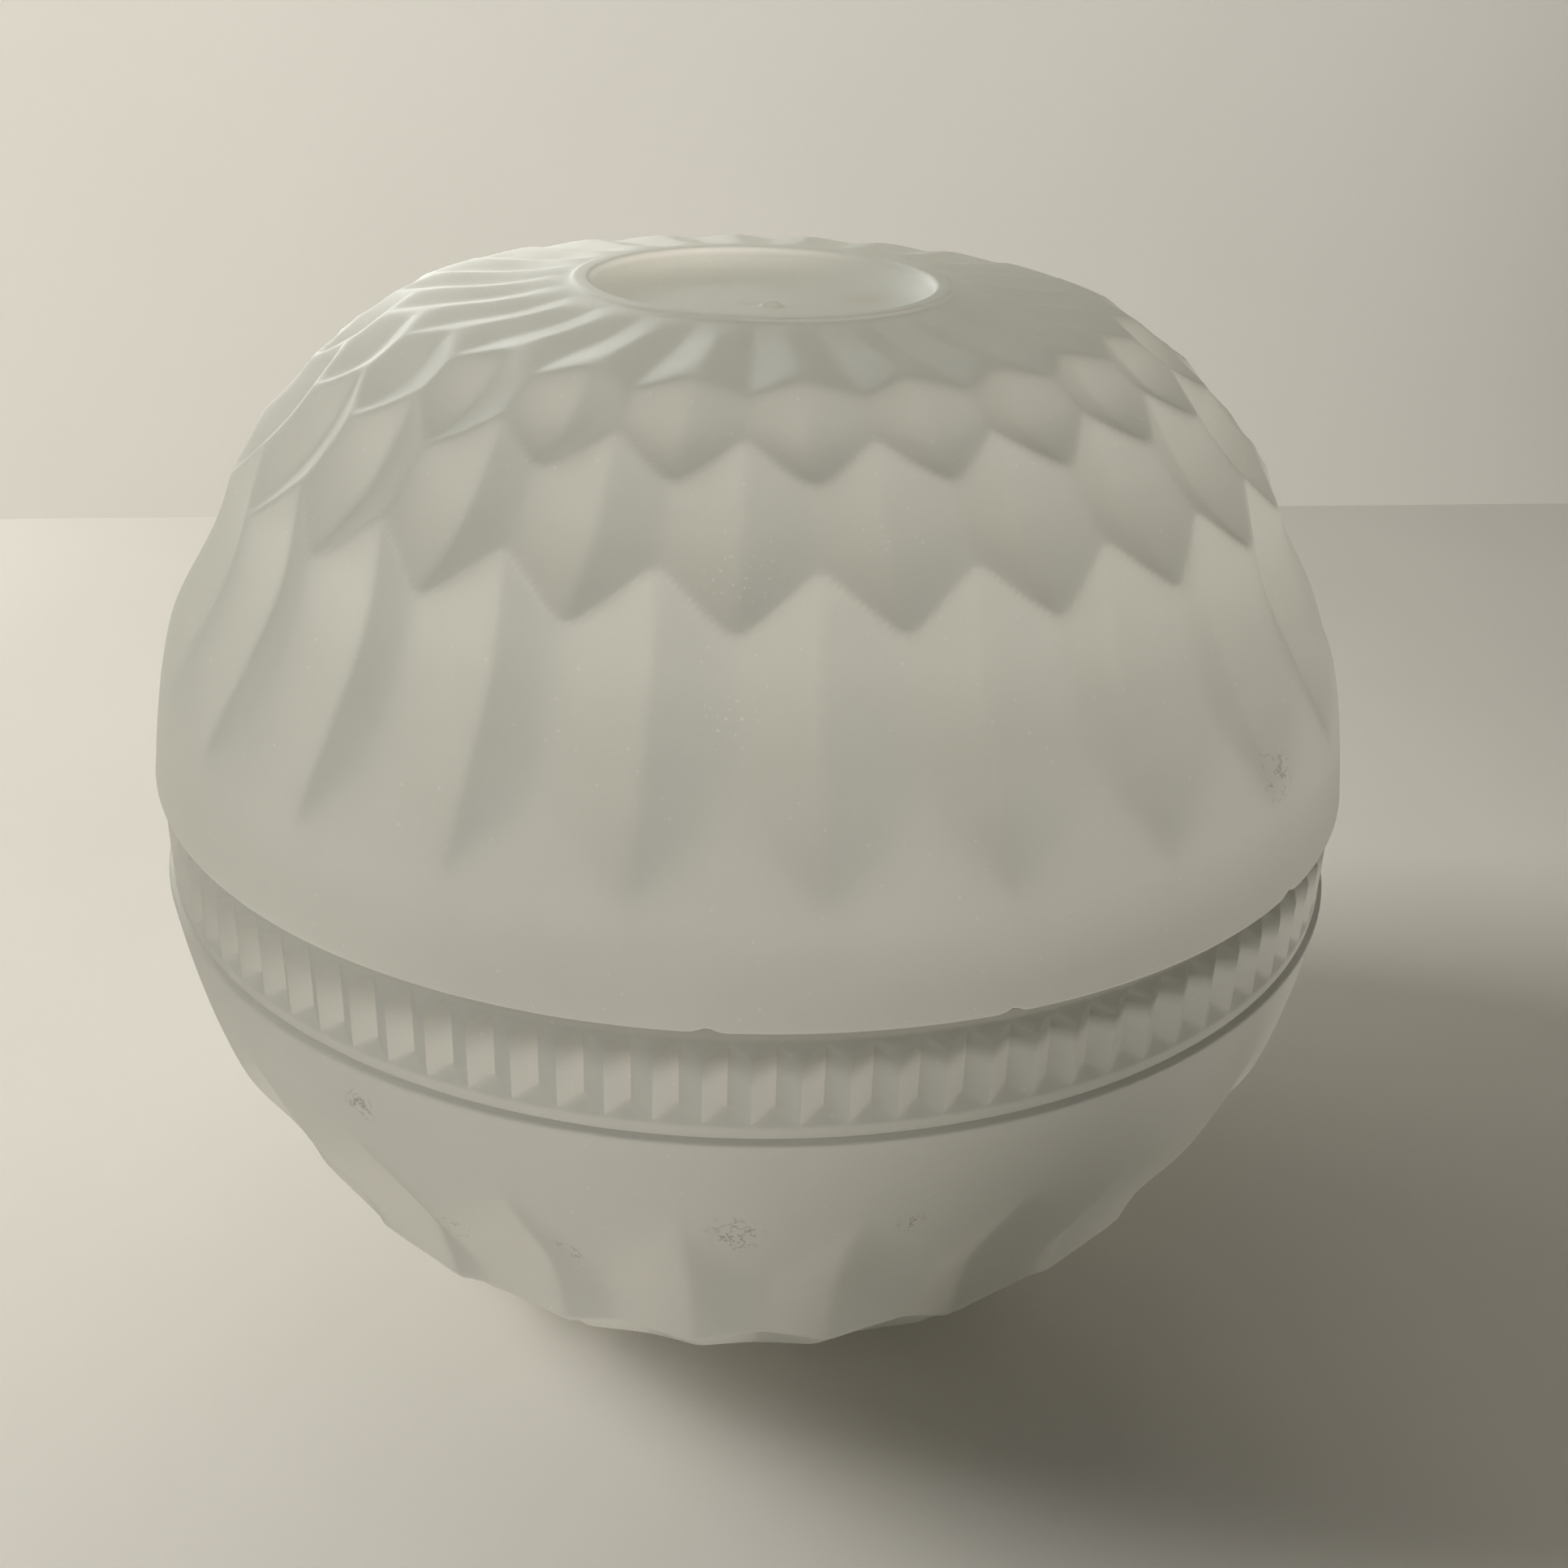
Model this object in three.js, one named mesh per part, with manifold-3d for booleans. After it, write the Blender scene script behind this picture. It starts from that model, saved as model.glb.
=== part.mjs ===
// Floating pool light: two faceted frosted shells screwed together over a seal ring. The lower shell
// carries a lamp deck with a ring of LEDs round a battery pod, and a ballast ring on its floor.
// Millimetres, +Z up, origin in the middle of the foot the light stands on.
import * as THREE from 'three';
import { mergeVertices } from 'three/addons/utils/BufferGeometryUtils.js';
import Module from 'manifold-3d';

const wasm = await Module();
wasm.setup();

// ---- driving dimensions: the globe ----
const RIM_RADIUS = 55.0;        // widest circle, the lower edge of the dome
const RIM_Z = 50.8;             // height of that edge above the foot
const HALF_DEPTH = 41.5;        // dome above its rim, and bowl below its grip band
const BAND_HEIGHT = 9.3;        // grip band of the bowl
const FACET_COLUMNS = 24;       // facets round each shell
const FLANK_SLOPE = 0.35;       // fall of a facet flank per unit of width
const FACET_PEAK = 1.18;        // valley depth where a row is deepest, over the flank height
const WALL = 4.2;               // smooth inside to the crests outside
const DOME_TWIST = 5.9;         // degrees, phase of the facets on the dome
const BOWL_TWIST = -5.0;        // degrees, phase of the facets on the bowl
const FOOT_OUTER = 16.4;
const FOOT_INNER = 15.0;
const FOOT_RECESS = 2.6;        // depth of the round recess inside the foot ring
const FLOOR_THICKNESS = 2.6;
const FLOOR_RADIUS = 30.0;      // flat part of the shell's inside

// ---- driving dimensions: the screwed joint of the shells ----
const NECK_OUTER = 49.2;
const NECK_INNER = 46.4;
const NECK_TOP = RIM_Z + 8.0;
const DOME_BORE = 51.0;         // inside of the dome over the neck
const SHOULDER_Z = RIM_Z - 0.5;
const SEAL_RADIUS = 51.6;       // middle of the seal cord
const SEAL_CORD = 0.8;          // half thickness of the seal cord
const SEAL_GROOVE_HALF = 1.1;
const GAP = 0.3;                // running gap between pieces

// ---- driving dimensions: the grip band ----
const RIB_COUNT = 96;
const RIB_CREST = 54.45;
const RIB_VALLEY = 53.5;
const STEP_DEPTH = 0.35;        // fine groove under the ribs
const STEP_HEIGHT = 0.4;
const BAND_ROOT = 52.9;          // where the ribs merge into the shell

// ---- driving dimensions: the inside ----
const DECK_BOTTOM = 48.0;
const DECK_TOP = 50.4;
const DECK_RADIUS = 45.6;
const DECK_SCREW_CIRCLE = 39.5;
const BOARD_TOP = 52.3;
const BOARD_INNER = 21.5;
const BOARD_OUTER = 34.0;
const LED_CIRCLE = 28.0;
const LED_COUNT = 6;
const POD_RADIUS = 14.0;
const POD_TOP = 57.2;
const POD_FLANGE = 19.8;
const CELL_CIRCLE = 6.95;       // centres of the three cells
const CELL_RADIUS = 5.25;
const CELL_BOTTOM = 13.3;
const CELL_LENGTH = 44.5;
const CHAMBER_TOP = 12.9;       // spring chamber under the cells
const CAP_BOTTOM = 53.5;
const CAP_CEILING = 58.9;
const CAP_TOP = 61.4;
const CAP_OUTER = 17.8;
const CAP_BORE = 15.7;

const DEGREE = Math.PI / 180;
const group = new THREE.Group();
group.name = 'floating_pool_light';

// ---- materials ----
const FROSTED = { color: 0xb3bab0, roughness: 0.5, metalness: 0 };
const WHITE_PLASTIC = { color: 0xe9e9e4, roughness: 0.5, metalness: 0 };
const SEAL_RUBBER = { color: 0xd9d8cf, roughness: 0.75, metalness: 0 };
const STEEL = { color: 0xb8babc, roughness: 0.3, metalness: 1 };
const NICKEL = { color: 0xc9c6bd, roughness: 0.25, metalness: 1 };
const BOARD_GREEN = { color: 0x2f6b45, roughness: 0.45, metalness: 0 };
const LED_LENS = { color: 0xf1f3f0, roughness: 0.15, metalness: 0 };
const CHIP_BLACK = { color: 0x1d1e20, roughness: 0.5, metalness: 0 };
const CELL_JACKET = { color: 0x8d9298, roughness: 0.35, metalness: 0.4 };
const RED_LEAD = { color: 0xb3372f, roughness: 0.5, metalness: 0 };
const BLACK_LEAD = { color: 0x242424, roughness: 0.5, metalness: 0 };

// ---- solid helpers ----
function signedVolume(geometry) {
  const position = geometry.getAttribute('position');
  const corner = [new THREE.Vector3(), new THREE.Vector3(), new THREE.Vector3()];
  let sum = 0;
  for (let i = 0; i < geometry.index.count; i += 3) {
    corner.forEach((c, k) => c.fromBufferAttribute(position, geometry.index.getX(i + k)));
    sum += corner[0].dot(corner[1].cross(corner[2]));
  }
  return sum / 6;
}

// One closed surface facing outwards, with shared vertices.
function closed(geometry) {
  geometry.deleteAttribute('normal');
  geometry.deleteAttribute('uv');
  const merged = mergeVertices(geometry, 1e-4);
  const kept = [];
  for (let i = 0; i < merged.index.count; i += 3) {
    const [a, b, c] = [0, 1, 2].map((k) => merged.index.getX(i + k));
    if (a !== b && b !== c && c !== a) kept.push(a, b, c);
  }
  merged.setIndex(kept);
  if (signedVolume(merged) < 0) {
    for (let i = 0; i < kept.length; i += 3) [kept[i], kept[i + 1]] = [kept[i + 1], kept[i]];
    merged.setIndex(kept);
  }
  return merged;
}

function toSolid(geometry) {
  const shape = closed(geometry);
  return new wasm.Manifold(new wasm.Mesh({
    numProp: 3,
    vertProperties: new Float32Array(shape.getAttribute('position').array),
    triVerts: new Uint32Array(shape.index.array),
  }));
}

function toGeometry(solid) {
  const mesh = solid.getMesh();
  const geometry = new THREE.BufferGeometry();
  geometry.setAttribute('position', new THREE.BufferAttribute(new Float32Array(mesh.vertProperties), 3));
  geometry.setIndex(Array.from(mesh.triVerts));
  return geometry;
}

function joined(first, ...others) {
  return others.reduce((solid, other) => solid.add(toSolid(other)), toSolid(first));
}

function cutFrom(solid, ...tools) {
  return tools.reduce((left, tool) => left.subtract(toSolid(tool)), solid);
}

function addNode(name, geometry, look) {
  const finished = geometry.index ? geometry : mergeVertices(geometry, 1e-4);
  finished.computeVertexNormals();
  const mesh = new THREE.Mesh(finished, new THREE.MeshStandardMaterial(look));
  mesh.name = name;
  group.add(mesh);
}

// Turned solid from [radius, height] points that start and end on the axis, or close on themselves.
function turned(points, segments) {
  const profile = points.map(([radius, height]) => new THREE.Vector2(radius, height));
  return closed(new THREE.LatheGeometry(profile, segments).rotateX(Math.PI / 2));
}

function ring(inner, outer, bottom, top, segments) {
  return turned([[inner, bottom], [outer, bottom], [outer, top], [inner, top], [inner, bottom]], segments);
}

function disc(radius, bottom, top, segments, x = 0, y = 0) {
  return turned([[0, bottom], [radius, bottom], [radius, top], [0, top]], segments).translate(x, y, 0);
}

function box(x, y, z, width, depth, height, turn = 0) {
  return new THREE.BoxGeometry(width, depth, height).translate(x, y, z).rotateZ(turn * DEGREE);
}

function polar(radius, degrees) {
  return [radius * Math.cos(degrees * DEGREE), radius * Math.sin(degrees * DEGREE)];
}

function cordAlong(points, halfThickness, steps, sides) {
  const corners = Array.from({ length: sides }, (_, k) => polar(halfThickness, (360 * k) / sides));
  const section = new THREE.Shape(corners.map((corner) => new THREE.Vector2(...corner)));
  const path = new THREE.CatmullRomCurve3(points.map((p) => new THREE.Vector3(...p)));
  return closed(new THREE.ExtrudeGeometry(section, { steps, extrudePath: path }));
}

// Helical ridge: a trapezoid from root to crest radius that climbs by lead every full turn.
function helicalRidge({ root, crest, height, start, span, lead, rootHalf, crestHalf }) {
  const steps = Math.ceil(span / 7.5);
  const section = [[root, -rootHalf], [crest, -crestHalf], [crest, crestHalf], [root, rootHalf]];
  const vertices = [];
  const index = [];
  for (let i = 0; i <= steps; i += 1) {
    const travelled = (span * i) / steps;
    for (const [radius, offset] of section) {
      const [x, y] = polar(radius, start + travelled);
      vertices.push(x, y, height + offset + (lead * travelled) / 360);
    }
  }
  for (let i = 0; i < steps; i += 1) {
    for (let k = 0; k < 4; k += 1) {
      const [a, b] = [4 * i + k, 4 * i + ((k + 1) % 4)];
      index.push(a, b, b + 4, a, b + 4, a + 4);
    }
  }
  const last = 4 * steps;
  index.push(0, 2, 1, 0, 3, 2, last, last + 1, last + 2, last, last + 2, last + 3);
  const geometry = new THREE.BufferGeometry();
  geometry.setAttribute('position', new THREE.Float32BufferAttribute(vertices, 3));
  geometry.setIndex(index);
  return geometry;
}

// Starts of a multi-start thread, spaced evenly round the axis.
function thread(starts, ridge) {
  return Array.from({ length: starts }, (_, k) => helicalRidge({ ...ridge, start: ridge.start + (360 * k) / starts }));
}

// ---- the faceted shells ----
// Outline of one shell from its widest edge to the foot ring: [radius, distance from that edge].
const OUTLINE = [
  [55.0, 0], [54.4, 4.4], [53.6, 8.8], [52.5, 13.2], [50.9, 17.6], [48.6, 22.0], [46.3, 26.4],
  [43.1, 30.8], [40.0, 34.1], [36.6, 36.9], [33.2, 39.0], [30.3, 40.1], [26.4, 40.8], [19.0, 41.2],
  [FOOT_OUTER + 0.4, 41.2],
].map(([radius, depth]) => new THREE.Vector2(radius, depth));

const OUTLINE_LENGTHS = OUTLINE.map((_, i) =>
  OUTLINE.slice(1, i + 1).reduce((sum, point, k) => sum + point.distanceTo(OUTLINE[k]), 0));

// Point and outward normal of the outline at a distance travelled from the widest edge.
function outlineAt(travelled) {
  const last = OUTLINE.length - 1;
  const found = OUTLINE_LENGTHS.findIndex((length) => length > travelled);
  const next = found < 1 ? last : found;
  const [from, to] = [OUTLINE[next - 1], OUTLINE[next]];
  const share = (travelled - OUTLINE_LENGTHS[next - 1]) / from.distanceTo(to);
  const point = from.clone().lerp(to, Math.min(share, 1));
  const along = to.clone().sub(from).normalize();
  return { radius: point.x, depth: point.y, normal: new THREE.Vector2(along.y, -along.x) };
}

// Rows of facets: each cell is a V cut between two tips; columns alternate from row to row.
const FACET_ROWS = [
  { column: 0, from: 9.4, deepest: 23.0, to: 33.0 },
  { column: 1, from: 27.5, deepest: 35.8, to: 44.0 },
  { column: 0, from: 39.0, deepest: 44.3, to: 49.5 },
  { column: 1, from: 47.8, deepest: 54.8, to: 61.6 },
];

// Levels where the outside is sampled: the tips, the deepest places and the ends of shared crests.
const FACET_LEVELS = [0, 9.4, 13.5, 17.6, 23.0, 27.5, 30.2, 33.0, 35.8, 39.0, 41.5, 44.3, 47.8, 49.5, 54.8, 61.6];

function flankHeight(travelled) {
  return FLANK_SLOPE * outlineAt(travelled).radius * (180 / FACET_COLUMNS) * DEGREE;
}

function cutDepth(travelled, column) {
  let depth = 0;
  for (const row of FACET_ROWS) {
    const half = travelled < row.deepest ? row.deepest - row.from : row.to - row.deepest;
    const t = (travelled - row.deepest) / half;
    const valley = FACET_PEAK * flankHeight(row.deepest) * (1 - t * t);
    depth = Math.max(depth, column === row.column ? valley : valley - flankHeight(travelled));
  }
  return depth;
}

// Rows of the outside, widest edge first, then the foot ring and its recess.
function outsideRows() {
  const rows = FACET_LEVELS.map((travelled) => {
    const { radius, depth, normal } = outlineAt(travelled);
    return [0, 1].map((column) => {
      const cut = cutDepth(travelled, column);
      return [radius - normal.x * cut, depth - normal.y * cut];
    });
  });
  const foot = [
    [FOOT_OUTER + 0.4, HALF_DEPTH - 0.3], [FOOT_OUTER, HALF_DEPTH], [FOOT_INNER, HALF_DEPTH],
    [FOOT_INNER - 0.3, HALF_DEPTH - FOOT_RECESS], [0, HALF_DEPTH - FOOT_RECESS],
  ];
  return [...rows, ...foot.map((point) => [point, point])];
}

// Rows of the smooth inside, from the middle of the flat floor towards the widest edge.
function insideRows(lowest, wallThickness = WALL) {
  const floor = HALF_DEPTH - FOOT_RECESS - FLOOR_THICKNESS;
  const wall = [46.0, 41.5, 38.0, 33.0, 28.0, 23.0, 17.6, 13.5].map((travelled) => {
    const { radius, depth, normal } = outlineAt(travelled);
    return [radius - normal.x * wallThickness, depth - normal.y * wallThickness];
  });
  const rows = [[0, floor], [FLOOR_RADIUS, floor], ...wall.filter(([, depth]) => depth > lowest)];
  return rows.map((point) => [point, point]);
}

// Closed shell from rows that start and end on the axis; heightOf places a depth on the Z axis.
function shellFromRows(rows, heightOf, twist) {
  const columns = 2 * FACET_COLUMNS;
  const vertices = [];
  const index = [];
  const at = (row, column) => row * columns + (column % columns);
  rows.forEach((row) => {
    for (let column = 0; column < columns; column += 1) {
      const [radius, depth] = row[column % 2];
      const [x, y] = polar(radius, twist - 90 + (column * 360) / columns);
      vertices.push(x, y, heightOf(depth));
    }
  });
  const distanceOut = (a, b) => Math.hypot(...[0, 1, 2].map((k) => (vertices[3 * a + k] + vertices[3 * b + k]) / 2
    - (k === 2 ? RIM_Z : 0)));
  for (let row = 0; row + 1 < rows.length; row += 1) {
    for (let column = 0; column < columns; column += 1) {
      const [a, b] = [at(row, column), at(row, column + 1)];
      const [c, d] = [at(row + 1, column + 1), at(row + 1, column)];
      if (distanceOut(a, c) > distanceOut(b, d)) index.push(a, b, c, a, c, d);
      else index.push(a, b, d, b, c, d);
    }
  }
  const geometry = new THREE.BufferGeometry();
  geometry.setAttribute('position', new THREE.Float32BufferAttribute(vertices, 3));
  geometry.setIndex(index);
  return closed(geometry);
}

function plainRow(radius, depth) {
  return [[radius, depth], [radius, depth]];
}

// ---- upper shell: faceted dome, threaded inside over the neck ----
const domeRows = [
  ...outsideRows().reverse(),
  plainRow(DOME_BORE, 0),
  plainRow(DOME_BORE, 8.6),
  ...insideRows(10).reverse(),
];
const domeShell = shellFromRows(domeRows, (depth) => RIM_Z + depth, DOME_TWIST);
const SHELL_THREAD = { lead: 12, rootHalf: 0.8, crestHalf: 0.5 };
const domeThread = thread(3, {
  ...SHELL_THREAD, root: DOME_BORE + 0.5, crest: 49.75, height: RIM_Z + 1.2, start: 30, span: 50,
});
addNode('dome_shell', toGeometry(joined(domeShell, ...domeThread)), FROSTED);

// ---- lower shell: faceted bowl, grip band, neck, screw bosses ----
const BOWL_EDGE_Z = RIM_Z - BAND_HEIGHT;
const bandDepth = (height) => BOWL_EDGE_Z - height;
const bowlRows = [
  ...outsideRows().reverse(),
  plainRow(RIB_CREST - STEP_DEPTH, 0),
  plainRow(RIB_CREST - STEP_DEPTH, STEP_HEIGHT),
  plainRow(RIB_VALLEY - 0.5, STEP_HEIGHT),
  plainRow(RIB_VALLEY - 0.5, bandDepth(SHOULDER_Z)),
  plainRow(NECK_OUTER, bandDepth(SHOULDER_Z)),
  plainRow(NECK_OUTER, bandDepth(NECK_TOP)),
  plainRow(NECK_INNER, bandDepth(NECK_TOP)),
  plainRow(NECK_INNER, bandDepth(RIM_Z - 5)),
  plainRow(50.2, bandDepth(BOWL_EDGE_Z)),
  ...insideRows(3).reverse(),
];
const bowlBody = shellFromRows(bowlRows, (depth) => BOWL_EDGE_Z - depth, BOWL_TWIST);

// Band of vertical triangular ribs with sloped ends: flat strip above, plain collar below.
function gripBand() {
  const collarFoot = STEP_HEIGHT - BAND_HEIGHT;
  const levels = [
    [-0.5, RIB_VALLEY, RIB_VALLEY], [-1.4, RIB_VALLEY, RIB_VALLEY], [-2.5, RIB_CREST, RIB_VALLEY],
    [-6.9, RIB_CREST, RIB_VALLEY], [-8.3, RIB_CREST, RIB_CREST], [collarFoot, RIB_CREST, RIB_CREST],
    [collarFoot, BAND_ROOT, BAND_ROOT], [-0.5, BAND_ROOT, BAND_ROOT],
  ];
  const columns = 2 * RIB_COUNT;
  const vertices = [];
  const index = [];
  levels.forEach(([height, crest, valley]) => {
    for (let column = 0; column < columns; column += 1) {
      const [x, y] = polar(column % 2 ? crest : valley, -90 + BOWL_TWIST + (360 * column) / columns);
      vertices.push(x, y, RIM_Z + height);
    }
  });
  const at = (level, column) => (level % levels.length) * columns + (column % columns);
  for (let level = 0; level < levels.length; level += 1) {
    for (let column = 0; column < columns; column += 1) {
      const [a, b] = [at(level, column), at(level, column + 1)];
      const [c, d] = [at(level + 1, column + 1), at(level + 1, column)];
      if (column % 2) index.push(a, b, d, b, c, d);
      else index.push(a, b, c, a, c, d);
    }
  }
  const geometry = new THREE.BufferGeometry();
  geometry.setAttribute('position', new THREE.Float32BufferAttribute(vertices, 3));
  geometry.setIndex(index);
  return geometry;
}

const SCREW_ANGLES = [90, 210, 330];
const SCREW_HOLE = 1.5;
const neckThread = thread(3, {
  ...SHELL_THREAD, root: NECK_OUTER - 0.5, crest: 50.5, height: RIM_Z + 2.2, start: 0, span: 80,
});
// Bosses run down into the sloping wall, and stop short of its outside.
const bossRoom = toSolid(shellFromRows([
  ...insideRows(3, WALL - 0.8), plainRow(50, 0), plainRow(50, -BAND_HEIGHT), plainRow(0, -BAND_HEIGHT),
], (depth) => BOWL_EDGE_Z - depth, BOWL_TWIST));
const bosses = SCREW_ANGLES.map((angle) => {
  const post = toSolid(disc(4.0, 5, DECK_BOTTOM - GAP, 16, ...polar(DECK_SCREW_CIRCLE, angle)));
  return toGeometry(post.intersect(bossRoom));
});
const bossHoles = SCREW_ANGLES.map((angle) => disc(SCREW_HOLE, 36, 60, 12, ...polar(DECK_SCREW_CIRCLE, angle)));
const sealGroove = ring(SEAL_RADIUS - SEAL_GROOVE_HALF, SEAL_RADIUS + SEAL_GROOVE_HALF, RIM_Z - 2.2, RIM_Z + 1, 48);
const bowlSolid = cutFrom(joined(bowlBody, gripBand(), ...neckThread, ...bosses), sealGroove, ...bossHoles);
addNode('bowl_shell', toGeometry(bowlSolid), FROSTED);

// ---- seal between the shells ----
function cordRing(radius, half, height, segments, sides) {
  const points = Array.from({ length: sides + 1 }, (_, k) => {
    const turn = (2 * Math.PI * k) / sides;
    return [radius + half * Math.cos(turn), height + half * Math.sin(turn)];
  });
  return turned(points, segments);
}
addNode('shell_seal', cordRing(SEAL_RADIUS, SEAL_CORD, RIM_Z - 1.1, 48, 6), SEAL_RUBBER);

// ---- lamp deck, reflector and LED board ----
const LEAD_ANGLES = { red: 252, black: 288 };
const LEAD_CIRCLE = 31.0;
const leadHoles = Object.values(LEAD_ANGLES).map((angle) =>
  disc(1.6, DECK_BOTTOM - 1, BOARD_TOP + 1, 12, ...polar(LEAD_CIRCLE, angle)));
const BOARD_SCREW_ANGLES = SCREW_ANGLES;
const boardHoles = BOARD_SCREW_ANGLES.map((angle) =>
  disc(1.3, DECK_BOTTOM - 5, BOARD_TOP + 1, 12, ...polar(LED_CIRCLE, angle)));
const deckHoles = SCREW_ANGLES.map((angle) => disc(1.9, DECK_BOTTOM - 1, DECK_TOP + 3, 12, ...polar(DECK_SCREW_CIRCLE, angle)));
const deckPlate = ring(POD_RADIUS + 0.5, DECK_RADIUS, DECK_BOTTOM, DECK_TOP, 48);
const deckPosts = BOARD_SCREW_ANGLES.map((angle) => disc(2.8, DECK_BOTTOM - 3.5, DECK_TOP - 0.5, 16, ...polar(LED_CIRCLE, angle)));
const deckSolid = cutFrom(joined(deckPlate, ...deckPosts), ...leadHoles, ...boardHoles, ...deckHoles);
addNode('lamp_deck', toGeometry(deckSolid), WHITE_PLASTIC);

const reflectorDish = turned([
  [35.2, DECK_TOP + GAP], [43.2, DECK_TOP + GAP], [45.3, DECK_TOP + 6.6], [44.3, DECK_TOP + 6.6],
  [42.4, DECK_TOP + 1.3], [35.2, DECK_TOP + 1.3], [35.2, DECK_TOP + GAP],
], 48);
addNode('reflector_dish', toGeometry(cutFrom(toSolid(reflectorDish), ...deckHoles)), WHITE_PLASTIC);

const boardPlate = ring(BOARD_INNER, BOARD_OUTER, DECK_TOP + GAP, BOARD_TOP, 48);
addNode('led_board', toGeometry(cutFrom(toSolid(boardPlate), ...leadHoles, ...boardHoles)), BOARD_GREEN);

const ledBase = BOARD_TOP + GAP;
for (let k = 0; k < LED_COUNT; k += 1) {
  const [x, y] = polar(LED_CIRCLE, (360 * k) / LED_COUNT);
  const body = turned([
    [0, ledBase], [2.9, ledBase], [2.9, ledBase + 1], [2.5, ledBase + 1], [2.5, ledBase + 5.2],
    [1.9, ledBase + 6.8], [1.0, ledBase + 7.5], [0, ledBase + 7.7],
  ], 16);
  addNode(`led_${k + 1}`, body.translate(x, y, 0), LED_LENS);
}

addNode('driver_chip', box(LED_CIRCLE, 0, ledBase + 0.8, 4.0, 5.0, 1.6, 30), CHIP_BLACK);
const capacitorAt = polar(LED_CIRCLE, 150);
const capacitorBody = turned([
  [0, ledBase], [2.5, ledBase], [2.5, ledBase + 1], [2.2, ledBase + 1.4], [2.5, ledBase + 1.8],
  [2.5, ledBase + 6.2], [2.2, ledBase + 6.5], [0, ledBase + 6.5],
], 16);
addNode('storage_capacitor', capacitorBody.translate(...capacitorAt, 0), CELL_JACKET);

// ---- slide switch on the board ----
const SWITCH_TRAVEL = 2.4;
const SWITCH_TOP = ledBase + 4.0;
const switchSolid = cutFrom(
  toSolid(box(0, -LED_CIRCLE, ledBase + 2.0, 10.0, 5.2, 4.0)),
  box(0, -LED_CIRCLE, SWITCH_TOP, 6.4, 2.6, 3.0),
);
addNode('switch_body', toGeometry(switchSolid), CHIP_BLACK);
const sliderSolid = joined(
  box(-SWITCH_TRAVEL / 2, -LED_CIRCLE, SWITCH_TOP - 0.35, 2.6, 2.0, 1.6),
  box(-SWITCH_TRAVEL / 2, -LED_CIRCLE, SWITCH_TOP + 1.4, 1.8, 2.0, 3.0),
);
addNode('switch_slider', toGeometry(sliderSolid), WHITE_PLASTIC);

// ---- battery pod with its cells, contacts and screw cap ----
const POD_FLOOR = 7.2;
const CELL_ANGLES = [90, 210, 330];
const podOutline = turned([
  [0, 5.7], [POD_RADIUS, 5.7], [POD_RADIUS, DECK_TOP + GAP], [POD_FLANGE, DECK_TOP + GAP],
  [POD_FLANGE, DECK_TOP + 1.5], [POD_RADIUS, DECK_TOP + 1.5], [POD_RADIUS, POD_TOP], [0, POD_TOP],
], 48);
const CAP_THREAD = { lead: 6, rootHalf: 0.55, crestHalf: 0.35 };
const podThread = thread(2, {
  ...CAP_THREAD, root: POD_RADIUS - 0.5, crest: 15.2, height: 54.8, start: 0, span: 100,
});
const cellBores = CELL_ANGLES.map((angle) => disc(CELL_RADIUS + 0.45, CHAMBER_TOP - 1, POD_TOP + 1, 24,
  ...polar(CELL_CIRCLE, angle)));
const springChamber = disc(12.6, POD_FLOOR, CHAMBER_TOP, 48);
const podSolid = cutFrom(joined(podOutline, ...podThread), springChamber, ...cellBores);
addNode('battery_pod', toGeometry(podSolid), WHITE_PLASTIC);

CELL_ANGLES.forEach((angle, k) => {
  const [x, y] = polar(CELL_CIRCLE, angle);
  const top = CELL_BOTTOM + CELL_LENGTH;
  const cell = turned([
    [0, CELL_BOTTOM], [4.6, CELL_BOTTOM], [CELL_RADIUS, CELL_BOTTOM + 0.5], [CELL_RADIUS, top - 1.6],
    [4.8, top - 1.1], [1.9, top - 1.1], [1.9, top], [0, top],
  ], 24);
  addNode(`battery_cell_${k + 1}`, cell.translate(x, y, 0), CELL_JACKET);
  const turns = 3;
  const stepsPerTurn = 10;
  const coil = Array.from({ length: stepsPerTurn * turns + 1 }, (_, i) => {
    const wound = i / (stepsPerTurn * turns);
    const [coilX, coilY] = polar(4.0 - 1.6 * wound, 360 * turns * wound);
    return [x + coilX, y + coilY, 8.55 + 4.1 * wound];
  });
  addNode(`contact_spring_${k + 1}`, cordAlong(coil, 0.35, stepsPerTurn * turns, 5), NICKEL);
});
addNode('bottom_contact', disc(12.0, POD_FLOOR + GAP, POD_FLOOR + 0.7, 36), NICKEL);
addNode('cap_contact', disc(11.5, CAP_CEILING - 0.8, CAP_CEILING - GAP, 36), NICKEL);

const capCup = turned([
  [0, CAP_CEILING], [CAP_BORE, CAP_CEILING], [CAP_BORE, CAP_BOTTOM], [CAP_OUTER, CAP_BOTTOM],
  [CAP_OUTER, CAP_TOP - 0.8], [CAP_OUTER - 0.8, CAP_TOP], [0, CAP_TOP],
], 48);
const capThread = thread(2, {
  ...CAP_THREAD, root: CAP_BORE + 0.5, crest: 14.55, height: 54.8 - 1.5 + 6 * (50 / 360), start: 50, span: 50,
});
const capGrip = box(0, 0, CAP_TOP + 1.5, 29.0, 4.6, 4.4);
addNode('battery_cap', toGeometry(joined(capCup, ...capThread, capGrip)), WHITE_PLASTIC);
addNode('cap_seal', cordRing(16.7, 0.5, CAP_BOTTOM - 0.8, 36, 6), SEAL_RUBBER);

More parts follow.
